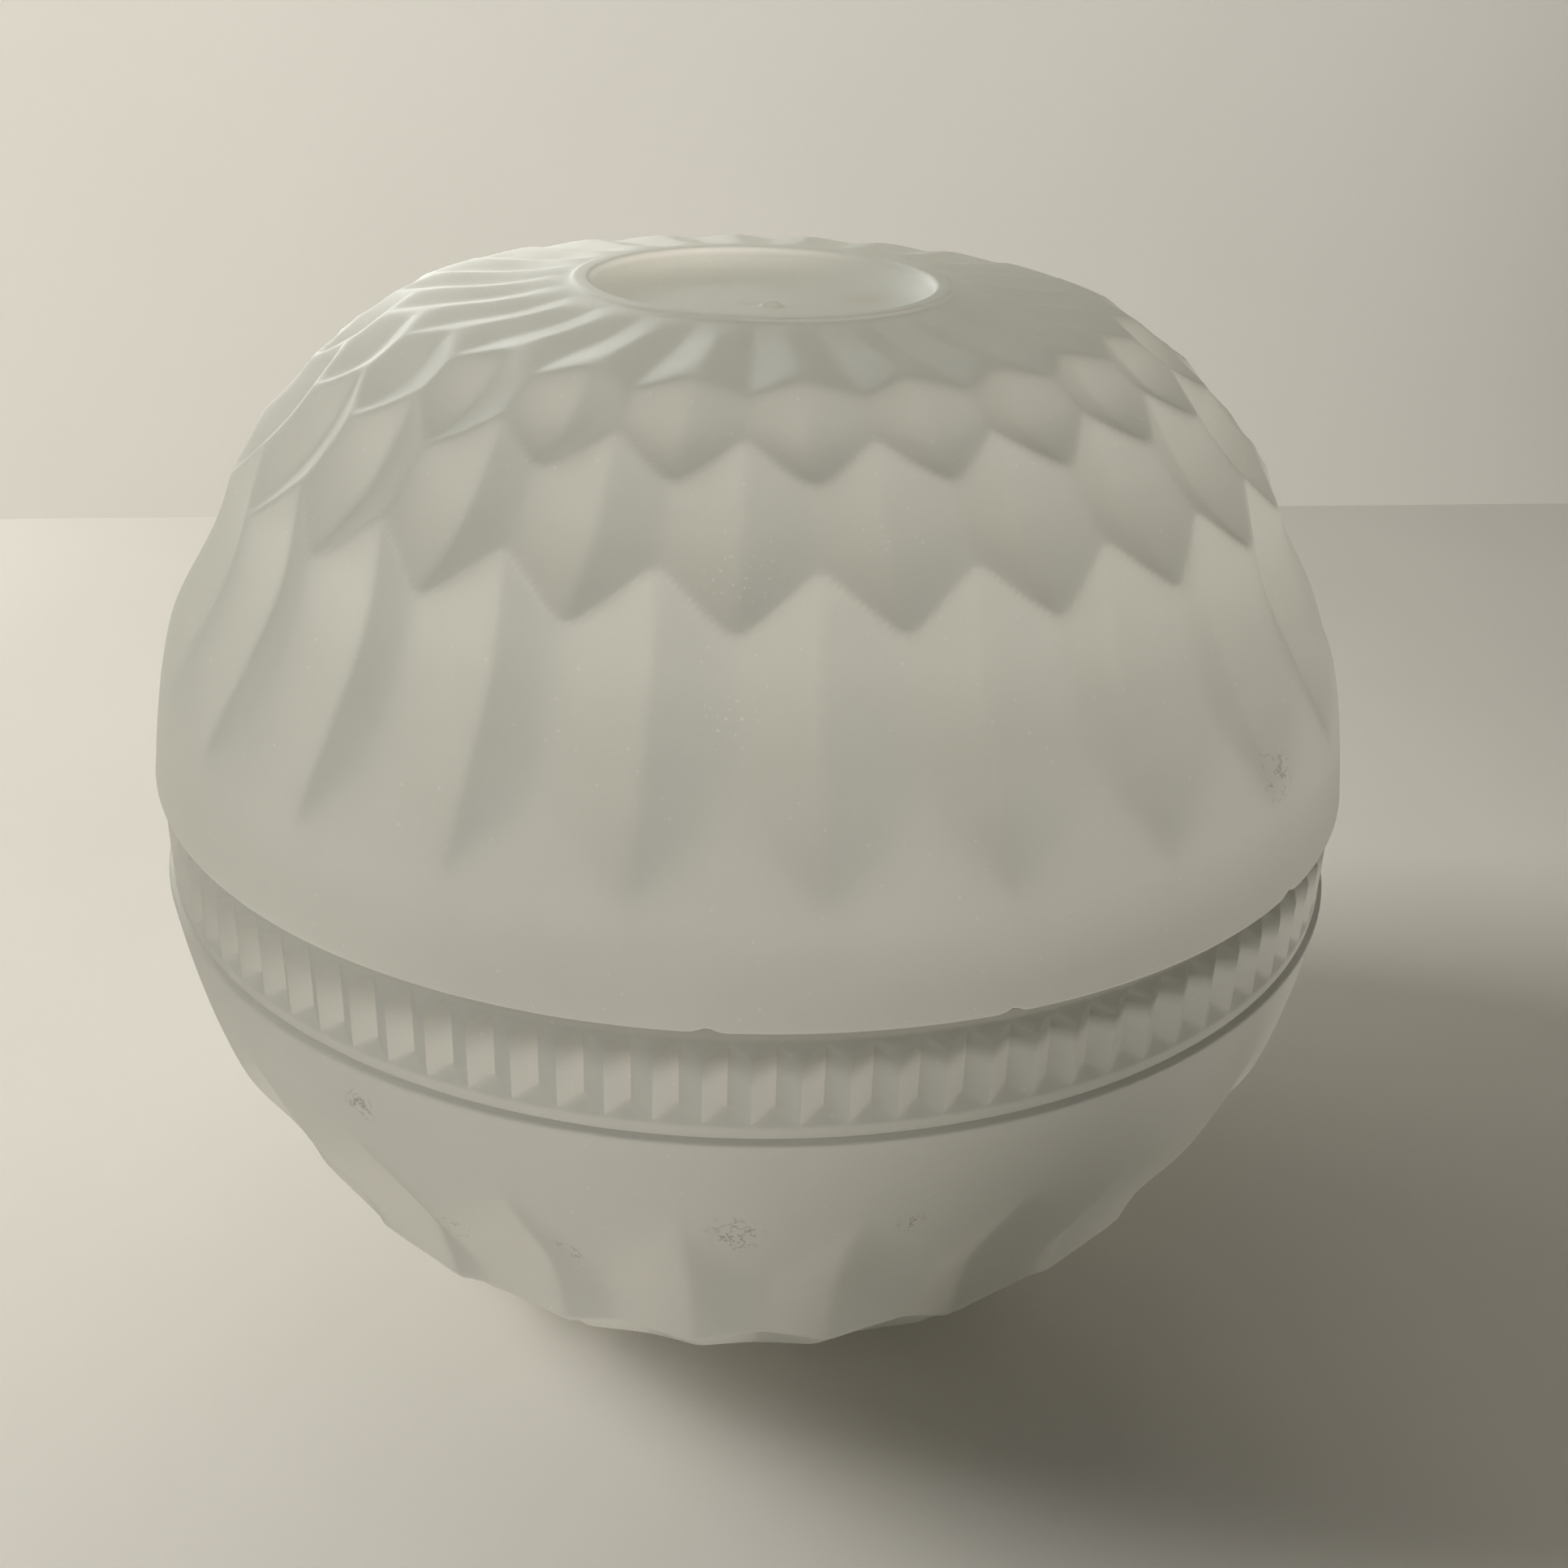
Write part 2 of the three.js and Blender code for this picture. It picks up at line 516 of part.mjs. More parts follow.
// ---- ballast ring on the floor of the bowl ----
const BALLAST_BOTTOM = RIM_Z - BAND_HEIGHT - HALF_DEPTH + FOOT_RECESS + FLOOR_THICKNESS + GAP;
addNode('ballast_ring', turned([
  [15.6, BALLAST_BOTTOM], [27.0, BALLAST_BOTTOM], [27.6, BALLAST_BOTTOM + 0.6], [27.6, BALLAST_BOTTOM + 4],
  [15.6, BALLAST_BOTTOM + 4], [15.6, BALLAST_BOTTOM],
], 48), STEEL);

// ---- screws: pan head with a cross recess, point down ----
function screwAt(x, y, seat, headRadius, headHeight, shankRadius, shankLength) {
  const body = turned([
    [0, seat - shankLength], [shankRadius * 0.6, seat - shankLength], [shankRadius, seat - shankLength + 1.2],
    [shankRadius, seat], [headRadius, seat], [headRadius, seat + headHeight * 0.5],
    [headRadius * 0.7, seat + headHeight], [0, seat + headHeight],
  ], 12);
  const slot = (turn) => box(0, 0, seat + headHeight, headRadius * 1.2, headRadius * 0.3, headHeight * 0.9, turn);
  return toGeometry(cutFrom(toSolid(body), slot(0), slot(90)).translate([x, y, 0]));
}
SCREW_ANGLES.forEach((angle, k) => {
  const seat = DECK_TOP + 1.3 + GAP;
  addNode(`deck_screw_${k + 1}`, screwAt(...polar(DECK_SCREW_CIRCLE, angle), seat, 3.0, 1.8, 1.2, 13), STEEL);
});
BOARD_SCREW_ANGLES.forEach((angle, k) => {
  addNode(`board_screw_${k + 1}`, screwAt(...polar(LED_CIRCLE, angle), BOARD_TOP + GAP, 2.2, 1.3, 0.95, 7), STEEL);
});

// ---- terminals on the pod and their leads up to the board ----
Object.entries(LEAD_ANGLES).forEach(([colour, angle]) => {
  addNode(`terminal_${colour}`, box(POD_RADIUS + GAP + 0.4, 0, 42, 0.8, 3.0, 7.0, angle), NICKEL);
  const route = [[16.0, 41.0], [20.0, 37.5], [27.0, 39.0], [30.5, 44.5], [LEAD_CIRCLE, 50.0], [LEAD_CIRCLE, 53.4]];
  const points = route.map(([radius, height]) => [...polar(radius, angle), height]);
  addNode(`lead_${colour}`, cordAlong(points, 0.6, 14, 6), colour === 'red' ? RED_LEAD : BLACK_LEAD);
});

export default group;
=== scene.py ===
import math

import bpy
import numpy as np
from mathutils import Matrix, Vector


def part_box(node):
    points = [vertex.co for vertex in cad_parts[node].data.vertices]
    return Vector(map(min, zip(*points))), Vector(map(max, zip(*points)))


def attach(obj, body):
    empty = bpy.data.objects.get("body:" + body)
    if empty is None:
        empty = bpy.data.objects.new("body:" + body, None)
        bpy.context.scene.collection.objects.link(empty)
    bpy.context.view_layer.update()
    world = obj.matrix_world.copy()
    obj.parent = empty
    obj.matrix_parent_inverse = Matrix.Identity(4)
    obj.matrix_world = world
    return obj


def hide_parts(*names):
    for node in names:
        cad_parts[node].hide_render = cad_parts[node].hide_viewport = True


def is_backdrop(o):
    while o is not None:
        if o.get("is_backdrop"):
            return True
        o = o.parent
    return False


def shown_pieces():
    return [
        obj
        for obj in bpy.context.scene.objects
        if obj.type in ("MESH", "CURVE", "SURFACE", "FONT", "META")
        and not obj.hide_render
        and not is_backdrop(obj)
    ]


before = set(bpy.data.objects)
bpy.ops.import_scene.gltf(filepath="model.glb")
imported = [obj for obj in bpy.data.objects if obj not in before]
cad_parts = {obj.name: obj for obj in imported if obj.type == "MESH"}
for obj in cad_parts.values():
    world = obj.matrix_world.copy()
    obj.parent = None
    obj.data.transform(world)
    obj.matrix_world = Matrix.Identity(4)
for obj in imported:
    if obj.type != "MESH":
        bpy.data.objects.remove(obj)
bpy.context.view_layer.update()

MM = 0.001


def box_mm(node):
    """Lowest and highest corner of a CAD node in millimetres."""
    return [[round(value / MM, 2) for value in corner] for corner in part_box(node)]


def low_z(node):
    return box_mm(node)[0][2]


def high_z(node):
    return box_mm(node)[1][2]


def reach_x(node):
    return box_mm(node)[1][0]


def centre_of(node, axis):
    low, high = box_mm(node)
    return round((low[axis] + high[axis]) / 2, 2)


# ---- driving dimensions of the globe ----
RIM_Z = low_z("dome_shell")
HALF_DEPTH = round(high_z("dome_shell") - RIM_Z, 2)     # dome above its rim, bowl below its grip band
RIM_RADIUS = 55.0
BAND_HEIGHT = 9.3           # grip band of the bowl
BOWL_EDGE_Z = RIM_Z - BAND_HEIGHT
FACET_COLUMNS = 24
FLANK_SLOPE = 0.35          # fall of a facet flank per unit of width
FACET_PEAK = 1.18           # valley depth where a row is deepest, over the flank height
WALL = 4.2
DOME_TWIST = 5.9            # degrees, phase of the facets
BOWL_TWIST = -5.0
FOOT_OUTER = 16.4
FOOT_INNER = 15.0
FOOT_RECESS = 2.6
RECESS_SEEN = 2.35          # depth of the soft dish inside the foot ring
FLOOR_THICKNESS = 2.6
FLOOR_RADIUS = 30.0
# Outline of a shell from its widest edge to the foot ring: radius and depth over the edge.
OUTLINE = [
    (55.0, 0.0), (54.4, 4.4), (53.6, 8.8), (52.5, 13.2), (50.9, 17.6), (48.6, 22.0), (46.3, 26.4),
    (43.1, 30.8), (40.0, 34.1), (36.6, 36.9), (33.2, 39.0), (30.3, 40.1), (26.4, 40.8), (19.0, 41.2),
    (16.8, 41.2),
]
# Facet rows: column parity, then the near tip, the deepest place and the far tip along the outline.
FACET_ROWS = [(0, 9.4, 23.0, 33.0), (1, 27.5, 35.8, 44.0), (0, 39.0, 44.3, 49.5), (1, 47.8, 54.8, 61.6)]
RIM_CHIPS = [((-2.7, -54.5, 50.9), 0.7), ((19.3, -51.4, 50.9), 0.6), ((43.6, -33.4, 50.9), 0.9)]
CHIP_DEPTH = 0.45

# ---- driving dimensions of the screwed joint and the grip band ----
NECK_OUTER = 49.2
NECK_INNER = 46.4
NECK_TOP = high_z("bowl_shell")
NECK_CREST = 50.5           # top of the thread on the neck
DOME_BORE = 51.0
DOME_CREST = 49.75          # top of the thread in the dome
SHOULDER_Z = RIM_Z - 0.5
SEAL_RADIUS = 51.6
SEAL_CORD = 0.8
SEAL_GROOVE_HALF = 1.1
SEAL_GROOVE_FLOOR = RIM_Z - 2.2
RIB_COUNT = 96
RIB_CREST = 54.45
RIB_VALLEY = 53.5

# ---- driving dimensions of the inside ----
SCREW_ANGLES = (90, 210, 330)
LEAD_ANGLES = {"red": 252, "black": 288}
LED_COUNT = 6
DECK_BOTTOM = 48.0          # underside of the deck's plate; its three posts reach lower
DECK_TOP = high_z("lamp_deck")
BOARD_TOP = high_z("led_board")
LED_BASE = low_z("led_1")
LED_CIRCLE = centre_of("led_1", 0)
LEAD_CIRCLE = 31.0
PAD_CIRCLE = 25.2           # small parts soldered on the board
DECK_SCREW_CIRCLE = centre_of("deck_screw_1", 1)
SWITCH_AT = (0.0, -LED_CIRCLE)
POD_RADIUS = 14.0
POD_BOTTOM = low_z("battery_pod")
POD_TOP = high_z("battery_pod")
POD_FLANGE = reach_x("battery_pod")
CAP_TOP = 61.4              # under the finger grip
CAP_CEILING = 58.9
CAP_BOTTOM = low_z("battery_cap")
CAP_OUTER = reach_x("battery_cap")
CAP_BORE = 15.7
CAP_THREAD_Z = 54.8         # where the thread of the pod starts
CAP_THREAD = {"starts": 2, "lead": 6.0, "root_half": 0.55, "crest_half": 0.35}
CELL_CIRCLE = centre_of("battery_cell_1", 1)
BOSS_TOP = 47.7             # hollow screw posts of the bowl
BOSS_RADIUS = 4.0
BOSS_HOLE = 1.5
BOSS_HOLE_END = 36.0

# ---- fineness of the rebuilt shells ----
COLUMNS = 768
ROW_STEP = 0.42
THREAD_STEP = 0.16
RIDGE_SOFTNESS = 0.16       # crests between cells of different rows
SIDE_SOFTNESS = (0.72, 0.45, 0.28, 0.2)     # crests between neighbours of one row, for each row
VALLEY_SOFTNESS = 0.40
FADE_PLACES = (6.0, 20.0, 32.0, 50.0)       # how softly the cuts run out, along the outline
FADE_SOFTNESS = (0.65, 0.48, 0.12, 0.3)
SHARP_ANGLE = math.radians(34)
INSIDE = 2.0                # mark of the inner wall, over the range of the painted highlight marks on the crests

rng = np.random.default_rng(7)


# ---------------------------------------------------------------- mesh parts
class Part:
    """Vertices in millimetres, quads, triangles, and one number per vertex for the shaders."""

    def __init__(self, vertices, quads=(), triangles=(), mark=None):
        self.v = np.asarray(vertices, float).reshape(-1, 3)
        self.q = np.asarray(quads, int).reshape(-1, 4)
        self.t = np.asarray(triangles, int).reshape(-1, 3)
        self.mark = np.zeros(len(self.v)) if mark is None else np.asarray(mark, float)

    def moved(self, x=0.0, y=0.0, z=0.0):
        self.v = self.v + np.array([x, y, z])
        return self

    def turned(self, degrees):
        c, s = math.cos(math.radians(degrees)), math.sin(math.radians(degrees))
        self.v = self.v @ np.array([[c, s, 0], [-s, c, 0], [0, 0, 1]])
        return self


def make_piece(name, parts, body, replaced, looks, sharp=SHARP_ANGLE):
    """One object from parts, riding on a CAD body and standing for CAD nodes."""
    vertices, quads, triangles, marks, slots = [], [], [], [], []
    base = 0
    for part, look in parts:
        vertices.append(part.v)
        quads.append(part.q + base)
        triangles.append(part.t + base)
        marks.append(part.mark)
        slots.append((len(part.q), len(part.t), look))
        base += len(part.v)
    v = np.concatenate(vertices) * MM
    q = np.concatenate(quads)
    t = np.concatenate(triangles)
    mesh = bpy.data.meshes.new(name)
    mesh.vertices.add(len(v))
    mesh.vertices.foreach_set("co", v.astype(np.float32).ravel())
    mesh.loops.add(q.size + t.size)
    mesh.loops.foreach_set("vertex_index", np.concatenate([q.ravel(), t.ravel()]).astype(np.int32))
    mesh.polygons.add(len(q) + len(t))
    starts = np.concatenate([np.arange(len(q)) * 4, q.size + np.arange(len(t)) * 3])
    mesh.polygons.foreach_set("loop_start", starts.astype(np.int32))
    for look in looks:
        mesh.materials.append(look)
    of_quads = [np.full(count, look) for count, _, look in slots]
    of_triangles = [np.full(count, look) for _, count, look in slots]
    index = np.concatenate(of_quads + of_triangles)
    mesh.polygons.foreach_set("material_index", index.astype(np.int32))
    mesh.update(calc_edges=True)
    mesh.validate()
    layer = mesh.attributes.new("mark", "FLOAT", "POINT")
    layer.data.foreach_set("value", np.concatenate(marks).astype(np.float32))
    mesh.shade_smooth()
    mesh.set_sharp_from_angle(angle=sharp)
    obj = bpy.data.objects.new(name, mesh)
    bpy.context.scene.collection.objects.link(obj)
    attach(obj, body)
    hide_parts(*replaced)
    return obj


def grid(rows, marks=None, start_pole=None, end_pole=None, wrap=False):
    """Surface over rows of points, each row closed on itself; poles cap the ends, or the rows wrap."""
    rows = np.asarray(rows, float)
    count, columns = rows.shape[:2]
    vertices = rows.reshape(-1, 3)
    mark = np.zeros(len(vertices)) if marks is None else np.asarray(marks, float).reshape(-1)
    i = np.arange(count if wrap else count - 1)[:, None]
    j = np.arange(columns)[None, :]
    up, right = (i + 1) % count, (j + 1) % columns
    corners = [i * columns + j, i * columns + right, up * columns + right, up * columns + j]
    quads = np.stack(corners, -1).reshape(-1, 4)
    triangles = []
    for pole, row, flip in ((start_pole, 0, True), (end_pole, count - 1, False)):
        if pole is None:
            continue
        vertices = np.vstack([vertices, [pole]])
        mark = np.append(mark, mark[row * columns])
        a = row * columns + np.arange(columns)
        b = row * columns + (np.arange(columns) + 1) % columns
        tip = np.full(columns, len(vertices) - 1)
        triangles.append(np.stack([b, a, tip] if flip else [a, b, tip], -1))
    return Part(vertices, quads, np.concatenate(triangles) if triangles else (), mark)


def rounded(points, radius, steps=4):
    """The open polyline with each inner corner replaced by an arc-like curve."""
    points = [np.asarray(p, float) for p in points]
    out = [points[0]]
    for before, corner, after in zip(points, points[1:], points[2:]):
        back, ahead = np.linalg.norm(before - corner), np.linalg.norm(after - corner)
        reach = min(radius, 0.45 * back, 0.45 * ahead)
        a = corner + (before - corner) / back * reach
        b = corner + (after - corner) / ahead * reach
        for t in np.linspace(0, 1, steps + 1):
            out.append((1 - t) ** 2 * a + 2 * t * (1 - t) * corner + t * t * b)
    out.append(points[-1])
    return np.array(out)


def outward(part):
    """The part with its faces turned to face outwards."""
    a, b, c = part.v[part.q[:, 0]], part.v[part.q[:, 1]], part.v[part.q[:, 2]]
    d = part.v[part.q[:, 3]]
    volume = np.einsum("ij,ij->", a, np.cross(b, c)) + np.einsum("ij,ij->", a, np.cross(c, d))
    a, b, c = (part.v[part.t[:, k]] for k in range(3))
    volume += np.einsum("ij,ij->", a, np.cross(b, c))
    return flipped(part) if volume < 0 else part


def lathe(profile, segments=64, bevel=0.25, steps=3, relief=None):
    """Turned solid. A profile from axis to axis gets poles, any other closes on itself.

    relief(radius, z, angles) gives the radius at every angle, for threads and grips.
    """
    profile = [np.asarray(p, float) for p in profile]
    on_axis = profile[0][0] < 1e-6
    points = rounded(profile if on_axis else [*profile, profile[0], profile[1]], bevel, steps)
    angle = np.arange(segments) * 2 * math.pi / segments
    rows = []
    for r, z in points[1:-1]:
        radius = np.full(segments, r) if relief is None else relief(r, z, angle)
        rows.append(np.stack([radius * np.cos(angle), radius * np.sin(angle), np.full(segments, z)], -1))
    if on_axis:
        return outward(grid(rows, start_pole=(0, 0, points[0][1]), end_pole=(0, 0, points[-1][1])))
    return outward(grid(rows, wrap=True))


def fine_line(start, end, step):
    """Points from start to end, step apart, for the part of a profile that carries relief."""
    start, end = np.asarray(start), np.asarray(end)
    count = max(2, int(abs(end[1] - start[1]) / step))
    return [tuple(start + (end - start) * k / count) for k in range(count + 1)]


def curve(points, per_span=10):
    """Smooth path through the points."""
    points = np.asarray(points, float)
    padded = np.vstack([2 * points[0] - points[1], points, 2 * points[-1] - points[-2]])
    out = []
    for k in range(1, len(padded) - 2):
        a, b, c, d = padded[k - 1:k + 3]
        for t in np.arange(per_span) / per_span:
            out.append(0.5 * (2 * b + (c - a) * t + (2 * a - 5 * b + 4 * c - d) * t ** 2
                              + (3 * b - a - 3 * c + d) * t ** 3))
    return np.array([*out, points[-1]])


def tube(path, half, sides=12):
    """Round cord along a path, closed at both ends."""
    path = np.asarray(path, float)
    tangent = np.gradient(path, axis=0)
    tangent /= np.linalg.norm(tangent, axis=1)[:, None]
    side = np.cross(tangent[0], (0.0, 0.0, 1.0) if abs(tangent[0][2]) < 0.9 else (1.0, 0.0, 0.0))
    angle = np.arange(sides) * 2 * math.pi / sides
    rows = []
    for point, along in zip(path, tangent):
        side = side - along * (side @ along)
        side /= np.linalg.norm(side)
        across = np.cross(along, side)
        rows.append(point + half * (np.cos(angle)[:, None] * side + np.sin(angle)[:, None] * across))
    return outward(grid(rows, start_pole=path[0], end_pole=path[-1]))


def stack(levels, steps=4):
    """Solid from rounded rectangles one above the other: (width, depth, corner, z) each."""
    turns = np.linspace(0, math.pi / 2, steps + 1)
    rows = []
    for width, depth, corner, z in levels:
        row = []
        for k, (sx, sy) in enumerate(((1, 1), (-1, 1), (-1, -1), (1, -1))):
            for turn in turns + k * math.pi / 2:
                row.append((sx * (width / 2 - corner) + corner * math.cos(turn),
                            sy * (depth / 2 - corner) + corner * math.sin(turn), z))
        rows.append(row)
    return outward(grid(rows, start_pole=(0, 0, levels[0][3]), end_pole=(0, 0, levels[-1][3])))


def slab(width, depth, height, bevel=0.2):
    """Box with rounded corners and softened top and bottom edges, its middle at the origin."""
    half, corner = height / 2, bevel * 1.6
    return stack([
        (width - 2 * bevel, depth - 2 * bevel, corner - 0.6 * bevel, -half),
        (width - 0.6 * bevel, depth - 0.6 * bevel, corner - 0.2 * bevel, -half + 0.3 * bevel),
        (width, depth, corner, -half + bevel), (width, depth, corner, half - bevel),
        (width - 0.6 * bevel, depth - 0.6 * bevel, corner - 0.2 * bevel, half - 0.3 * bevel),
        (width - 2 * bevel, depth - 2 * bevel, corner - 0.6 * bevel, half),
    ])


def blob(radius, height, z, segments=20):
    """Low dome of solder or a rivet head."""
    turns = np.linspace(0, math.pi / 2, 6)
    points = [(radius * math.cos(turn), z + height * math.sin(turn)) for turn in turns[:-1]]
    return lathe([(0, z - 0.15), (radius, z - 0.15), *points, (0, z + height)], segments, 0.02, 1)


def polar(radius, degrees):
    return radius * math.cos(math.radians(degrees)), radius * math.sin(math.radians(degrees))


def carved(solids, holes=()):
    """The solids as one closed part, less the holes."""
    made = []
    for part in (*solids, *holes):
        mesh = bpy.data.meshes.new("tool")
        mesh.from_pydata(part.v.tolist(), [], part.q.tolist() + part.t.tolist())
        obj = bpy.data.objects.new("tool", mesh)
        bpy.context.scene.collection.objects.link(obj)
        made.append(obj)
    for k, tool in enumerate(made[1:], 1):
        step = made[0].modifiers.new(f"step_{k}", "BOOLEAN")
        step.operation = "UNION" if k < len(solids) else "DIFFERENCE"
        step.solver = "MANIFOLD"
        step.object = tool
    mesh = bpy.data.meshes.new_from_object(made[0].evaluated_get(bpy.context.evaluated_depsgraph_get()))
    mesh.calc_loop_triangles()
    vertices = np.zeros(len(mesh.vertices) * 3)
    triangles = np.zeros(len(mesh.loop_triangles) * 3, int)
    mesh.vertices.foreach_get("co", vertices)
    mesh.loop_triangles.foreach_get("vertices", triangles)
    for obj in made:
        tool_mesh = obj.data
        bpy.data.objects.remove(obj)
        bpy.data.meshes.remove(tool_mesh)
    bpy.data.meshes.remove(mesh)
    return Part(vertices, (), triangles.reshape(-1, 3))


# ---------------------------------------------------------------- the faceted shells
def smooth_max(a, b, softness):
    return (a + b + np.sqrt((a - b) ** 2 + softness ** 2)) / 2


def dense_outline():
    """Outline resampled and gently smoothed: travelled length, radius, depth, outward normal."""
    corners = np.array(OUTLINE)
    lengths = np.concatenate([[0], np.cumsum(np.linalg.norm(np.diff(corners, axis=0), axis=1))])
    step, reach, sigma = 0.05, 6.0, 1.4
    s = np.arange(-reach, lengths[-1] + reach, step)
    first = (corners[1] - corners[0]) / (lengths[1] - lengths[0])
    last = (corners[-1] - corners[-2]) / (lengths[-1] - lengths[-2])
    lane = np.stack([np.interp(s, lengths, corners[:, k]) for k in (0, 1)], -1)
    lane[s < 0] = corners[0] + s[s < 0][:, None] * first
    lane[s > lengths[-1]] = corners[-1] + (s[s > lengths[-1]] - lengths[-1])[:, None] * last
    kernel_s = np.arange(-4 * sigma, 4 * sigma + step / 2, step)
    kernel = np.exp(-kernel_s ** 2 / (2 * sigma ** 2))
    kernel /= kernel.sum()
    smooth = np.stack([np.convolve(lane[:, k], kernel, "same") for k in (0, 1)], -1)
    along = np.gradient(smooth, axis=0)
    along /= np.linalg.norm(along, axis=1)[:, None]
    keep = (s >= 0) & (s <= lengths[-1])
    return s[keep], smooth[keep], np.stack([along[:, 1], -along[:, 0]], -1)[keep]


OUT_S, OUT_POINT, OUT_NORMAL = dense_outline()


def outline_at(travelled):
    pick = [np.interp(travelled, OUT_S, values) for values in (*OUT_POINT.T, *OUT_NORMAL.T)]
    return pick[0], pick[1], pick[2], pick[3]


PITCH = 2 * math.pi / FACET_COLUMNS
THETA = np.arange(COLUMNS) * 2 * math.pi / COLUMNS


def facet_cut(travelled, radius):
    """Depth of the V cuts at every column of one row, and the share of painted highlight at each place near
    the crests between rows.
    """
    best = np.full(COLUMNS, -9.0)
    second = np.full(COLUMNS, -9.0)
    for (column, near, deepest, far), side_softness in zip(FACET_ROWS, SIDE_SOFTNESS):
        half = deepest - near if travelled < deepest else far - deepest
        t = (travelled - deepest) / half
        flank = FLANK_SLOPE * np.interp(deepest, OUT_S, OUT_POINT[:, 0]) * PITCH / 2
        valley = FACET_PEAK * flank * (1 - t * t)
        phase = (THETA - column * PITCH / 2) / PITCH
        offset = phase - np.round(phase)
        depths = []
        for shift in (0, 1):
            x = np.abs(offset - np.sign(offset + 1e-12) * shift) * PITCH * radius
            depths.append(valley - FLANK_SLOPE * (np.sqrt(x ** 2 + VALLEY_SOFTNESS ** 2) - VALLEY_SOFTNESS))
        depth = smooth_max(depths[0], depths[1], side_softness)
        second = np.maximum(second, np.minimum(best, depth))
        best = np.maximum(best, depth)
    cut = smooth_max(best, second, RIDGE_SOFTNESS)
    # Painted highlight along the crests between rows, weaker on the upper rows.
    crest_highlight = np.exp(-((best - second) / 0.13) ** 2) * np.clip(cut / 0.5, 0, 1)
    crest_highlight = crest_highlight * np.interp(travelled, (36, 46), (1, 0.2))
    cut = cut * np.interp(travelled, (34, 44, 52), (1.0, 0.85, 0.6))
    fade = np.interp(travelled, FADE_PLACES, FADE_SOFTNESS)
    return smooth_max(cut, 0.0, fade), np.clip(crest_highlight, 0, 1)


def facet_rows():
    """Rows of (radius, depth, mark) per column, from the widest edge to the foot ring; the mark is the
    painted highlight along crests.
    """
    last = OUT_S[-1]
    levels = np.linspace(0.0, last, int(last / ROW_STEP) + 1)
    radii, depths, marks = [], [], []
    for travelled in levels:
        radius, depth, nr, nd = outline_at(travelled)
        cut, ridge_highlight = facet_cut(travelled, radius)
        radii.append(radius - nr * cut)
        depths.append(depth - nd * cut)
        marks.append(ridge_highlight)
    return np.array(radii), np.array(depths), np.array(marks)


def plain_rows(profile, mark=0.0):
    profile = np.asarray(profile, float)
    radii = np.repeat(profile[:, :1], COLUMNS, 1)
    depths = np.repeat(profile[:, 1:2], COLUMNS, 1)
    return radii, depths, np.full(radii.shape, mark)


def inner_profile(lowest):
    """Smooth inside from the axis along the floor and down the wall to a depth."""
    floor = HALF_DEPTH - FOOT_RECESS - FLOOR_THICKNESS
    wall = []
    for travelled in np.arange(46.0, 8.0, -1.5):
        radius, depth, nr, nd = outline_at(travelled)
        point = (radius - nr * WALL, depth - nd * WALL)
        if lowest < point[1] < floor - 0.4:
            wall.append(point)
    return rounded([(2.0, floor), (FLOOR_RADIUS - 2.0, floor), *wall], 2.5, 3)


def foot_profile():
    """Foot ring and its recess, from the outline's end to near the axis."""
    ring = HALF_DEPTH
    corner = rounded([
        (FOOT_OUTER + 1.0, ring - 0.32), (FOOT_OUTER + 0.35, ring - 0.28), (FOOT_OUTER - 0.05, ring),
        (FOOT_INNER + 0.1, ring), (FOOT_INNER - 0.25, ring - 0.55), (FOOT_INNER - 1.6, ring - 1.5),
        (FOOT_INNER - 3.4, ring - 2.15), (FOOT_INNER - 5.4, ring - RECESS_SEEN), (8.6, ring - RECESS_SEEN),
    ], 1.2, 5)
    floor_radii = (7.6, 6.4, 5.4, 4.4, 3.6, 2.9, 2.3, 1.8, 1.4, 1.0, 0.7, 0.4, 0.2)
    floor = [(r, ring - RECESS_SEEN) for r in floor_radii]
    return np.vstack([corner[1:], floor])


def thread_rise(z, height, start, span, theta, starts=3, lead=12.0, root_half=0.8, crest_half=0.5):
    """Share of the full thread height at each angle for one level; angles in degrees but theta."""
    rise = np.zeros(len(theta))
    degrees = np.degrees(theta)
    for k in range(starts):
        travelled = (degrees - start - 360 * k / starts) % 360
        on = travelled <= span
        centre = height + lead * travelled / 360
        off = np.abs(z - centre)
        body = np.clip((root_half - off) / (root_half - crest_half), 0, 1)
        ends = np.clip(np.minimum(travelled, span - travelled) / 3.0, 0, 1)
        rise = np.maximum(rise, np.where(on, body * ends, 0))
    return rise


def shell_part(groups, height_of, twist, start_depth, end_depth):
    """Closed shell from groups of rows that run from the axis outside to the axis inside."""
    radii = np.concatenate([g[0] for g in groups])
    depths = np.concatenate([g[1] for g in groups])
    marks = np.concatenate([g[2] for g in groups])
    angle = THETA + math.radians(twist - 90)
    rows = np.stack([radii * np.cos(angle), radii * np.sin(angle), height_of(depths)], -1)
    return grid(rows, marks, (0, 0, height_of(start_depth)), (0, 0, height_of(end_depth)))


def flipped(part):
    part.q = part.q[:, ::-1]
    part.t = part.t[:, ::-1]
    return part


def reversed_rows(group):
    return tuple(values[::-1] for values in group)


def outside_group():
    """From the axis in the recess, over the foot ring, down the facets to the widest edge."""
    foot = plain_rows(foot_profile()[::-1])
    facets = facet_rows()
    trimmed = tuple(values[2:-1] for values in facets)
    return [foot, reversed_rows(trimmed)]


def gate_mark(part, ring_z, sign):
    """Moulding gate in the middle of the recess: a small nub beside a nick."""
    x, y = part.v[:, 0], part.v[:, 1]
    near = np.abs(part.v[:, 2] - ring_z) < 0.2
    nub = 0.42 * np.exp(-(((x - 0.8) / 0.9) ** 2 + ((y + 0.3) / 0.45) ** 2) ** 2)
    nick = -0.35 * np.exp(-(((x + 0.9) / 0.8) ** 2 + ((y - 0.4) / 0.5) ** 2))
    part.v[:, 2] += np.where(near, sign * (nub + nick), 0)
    return part


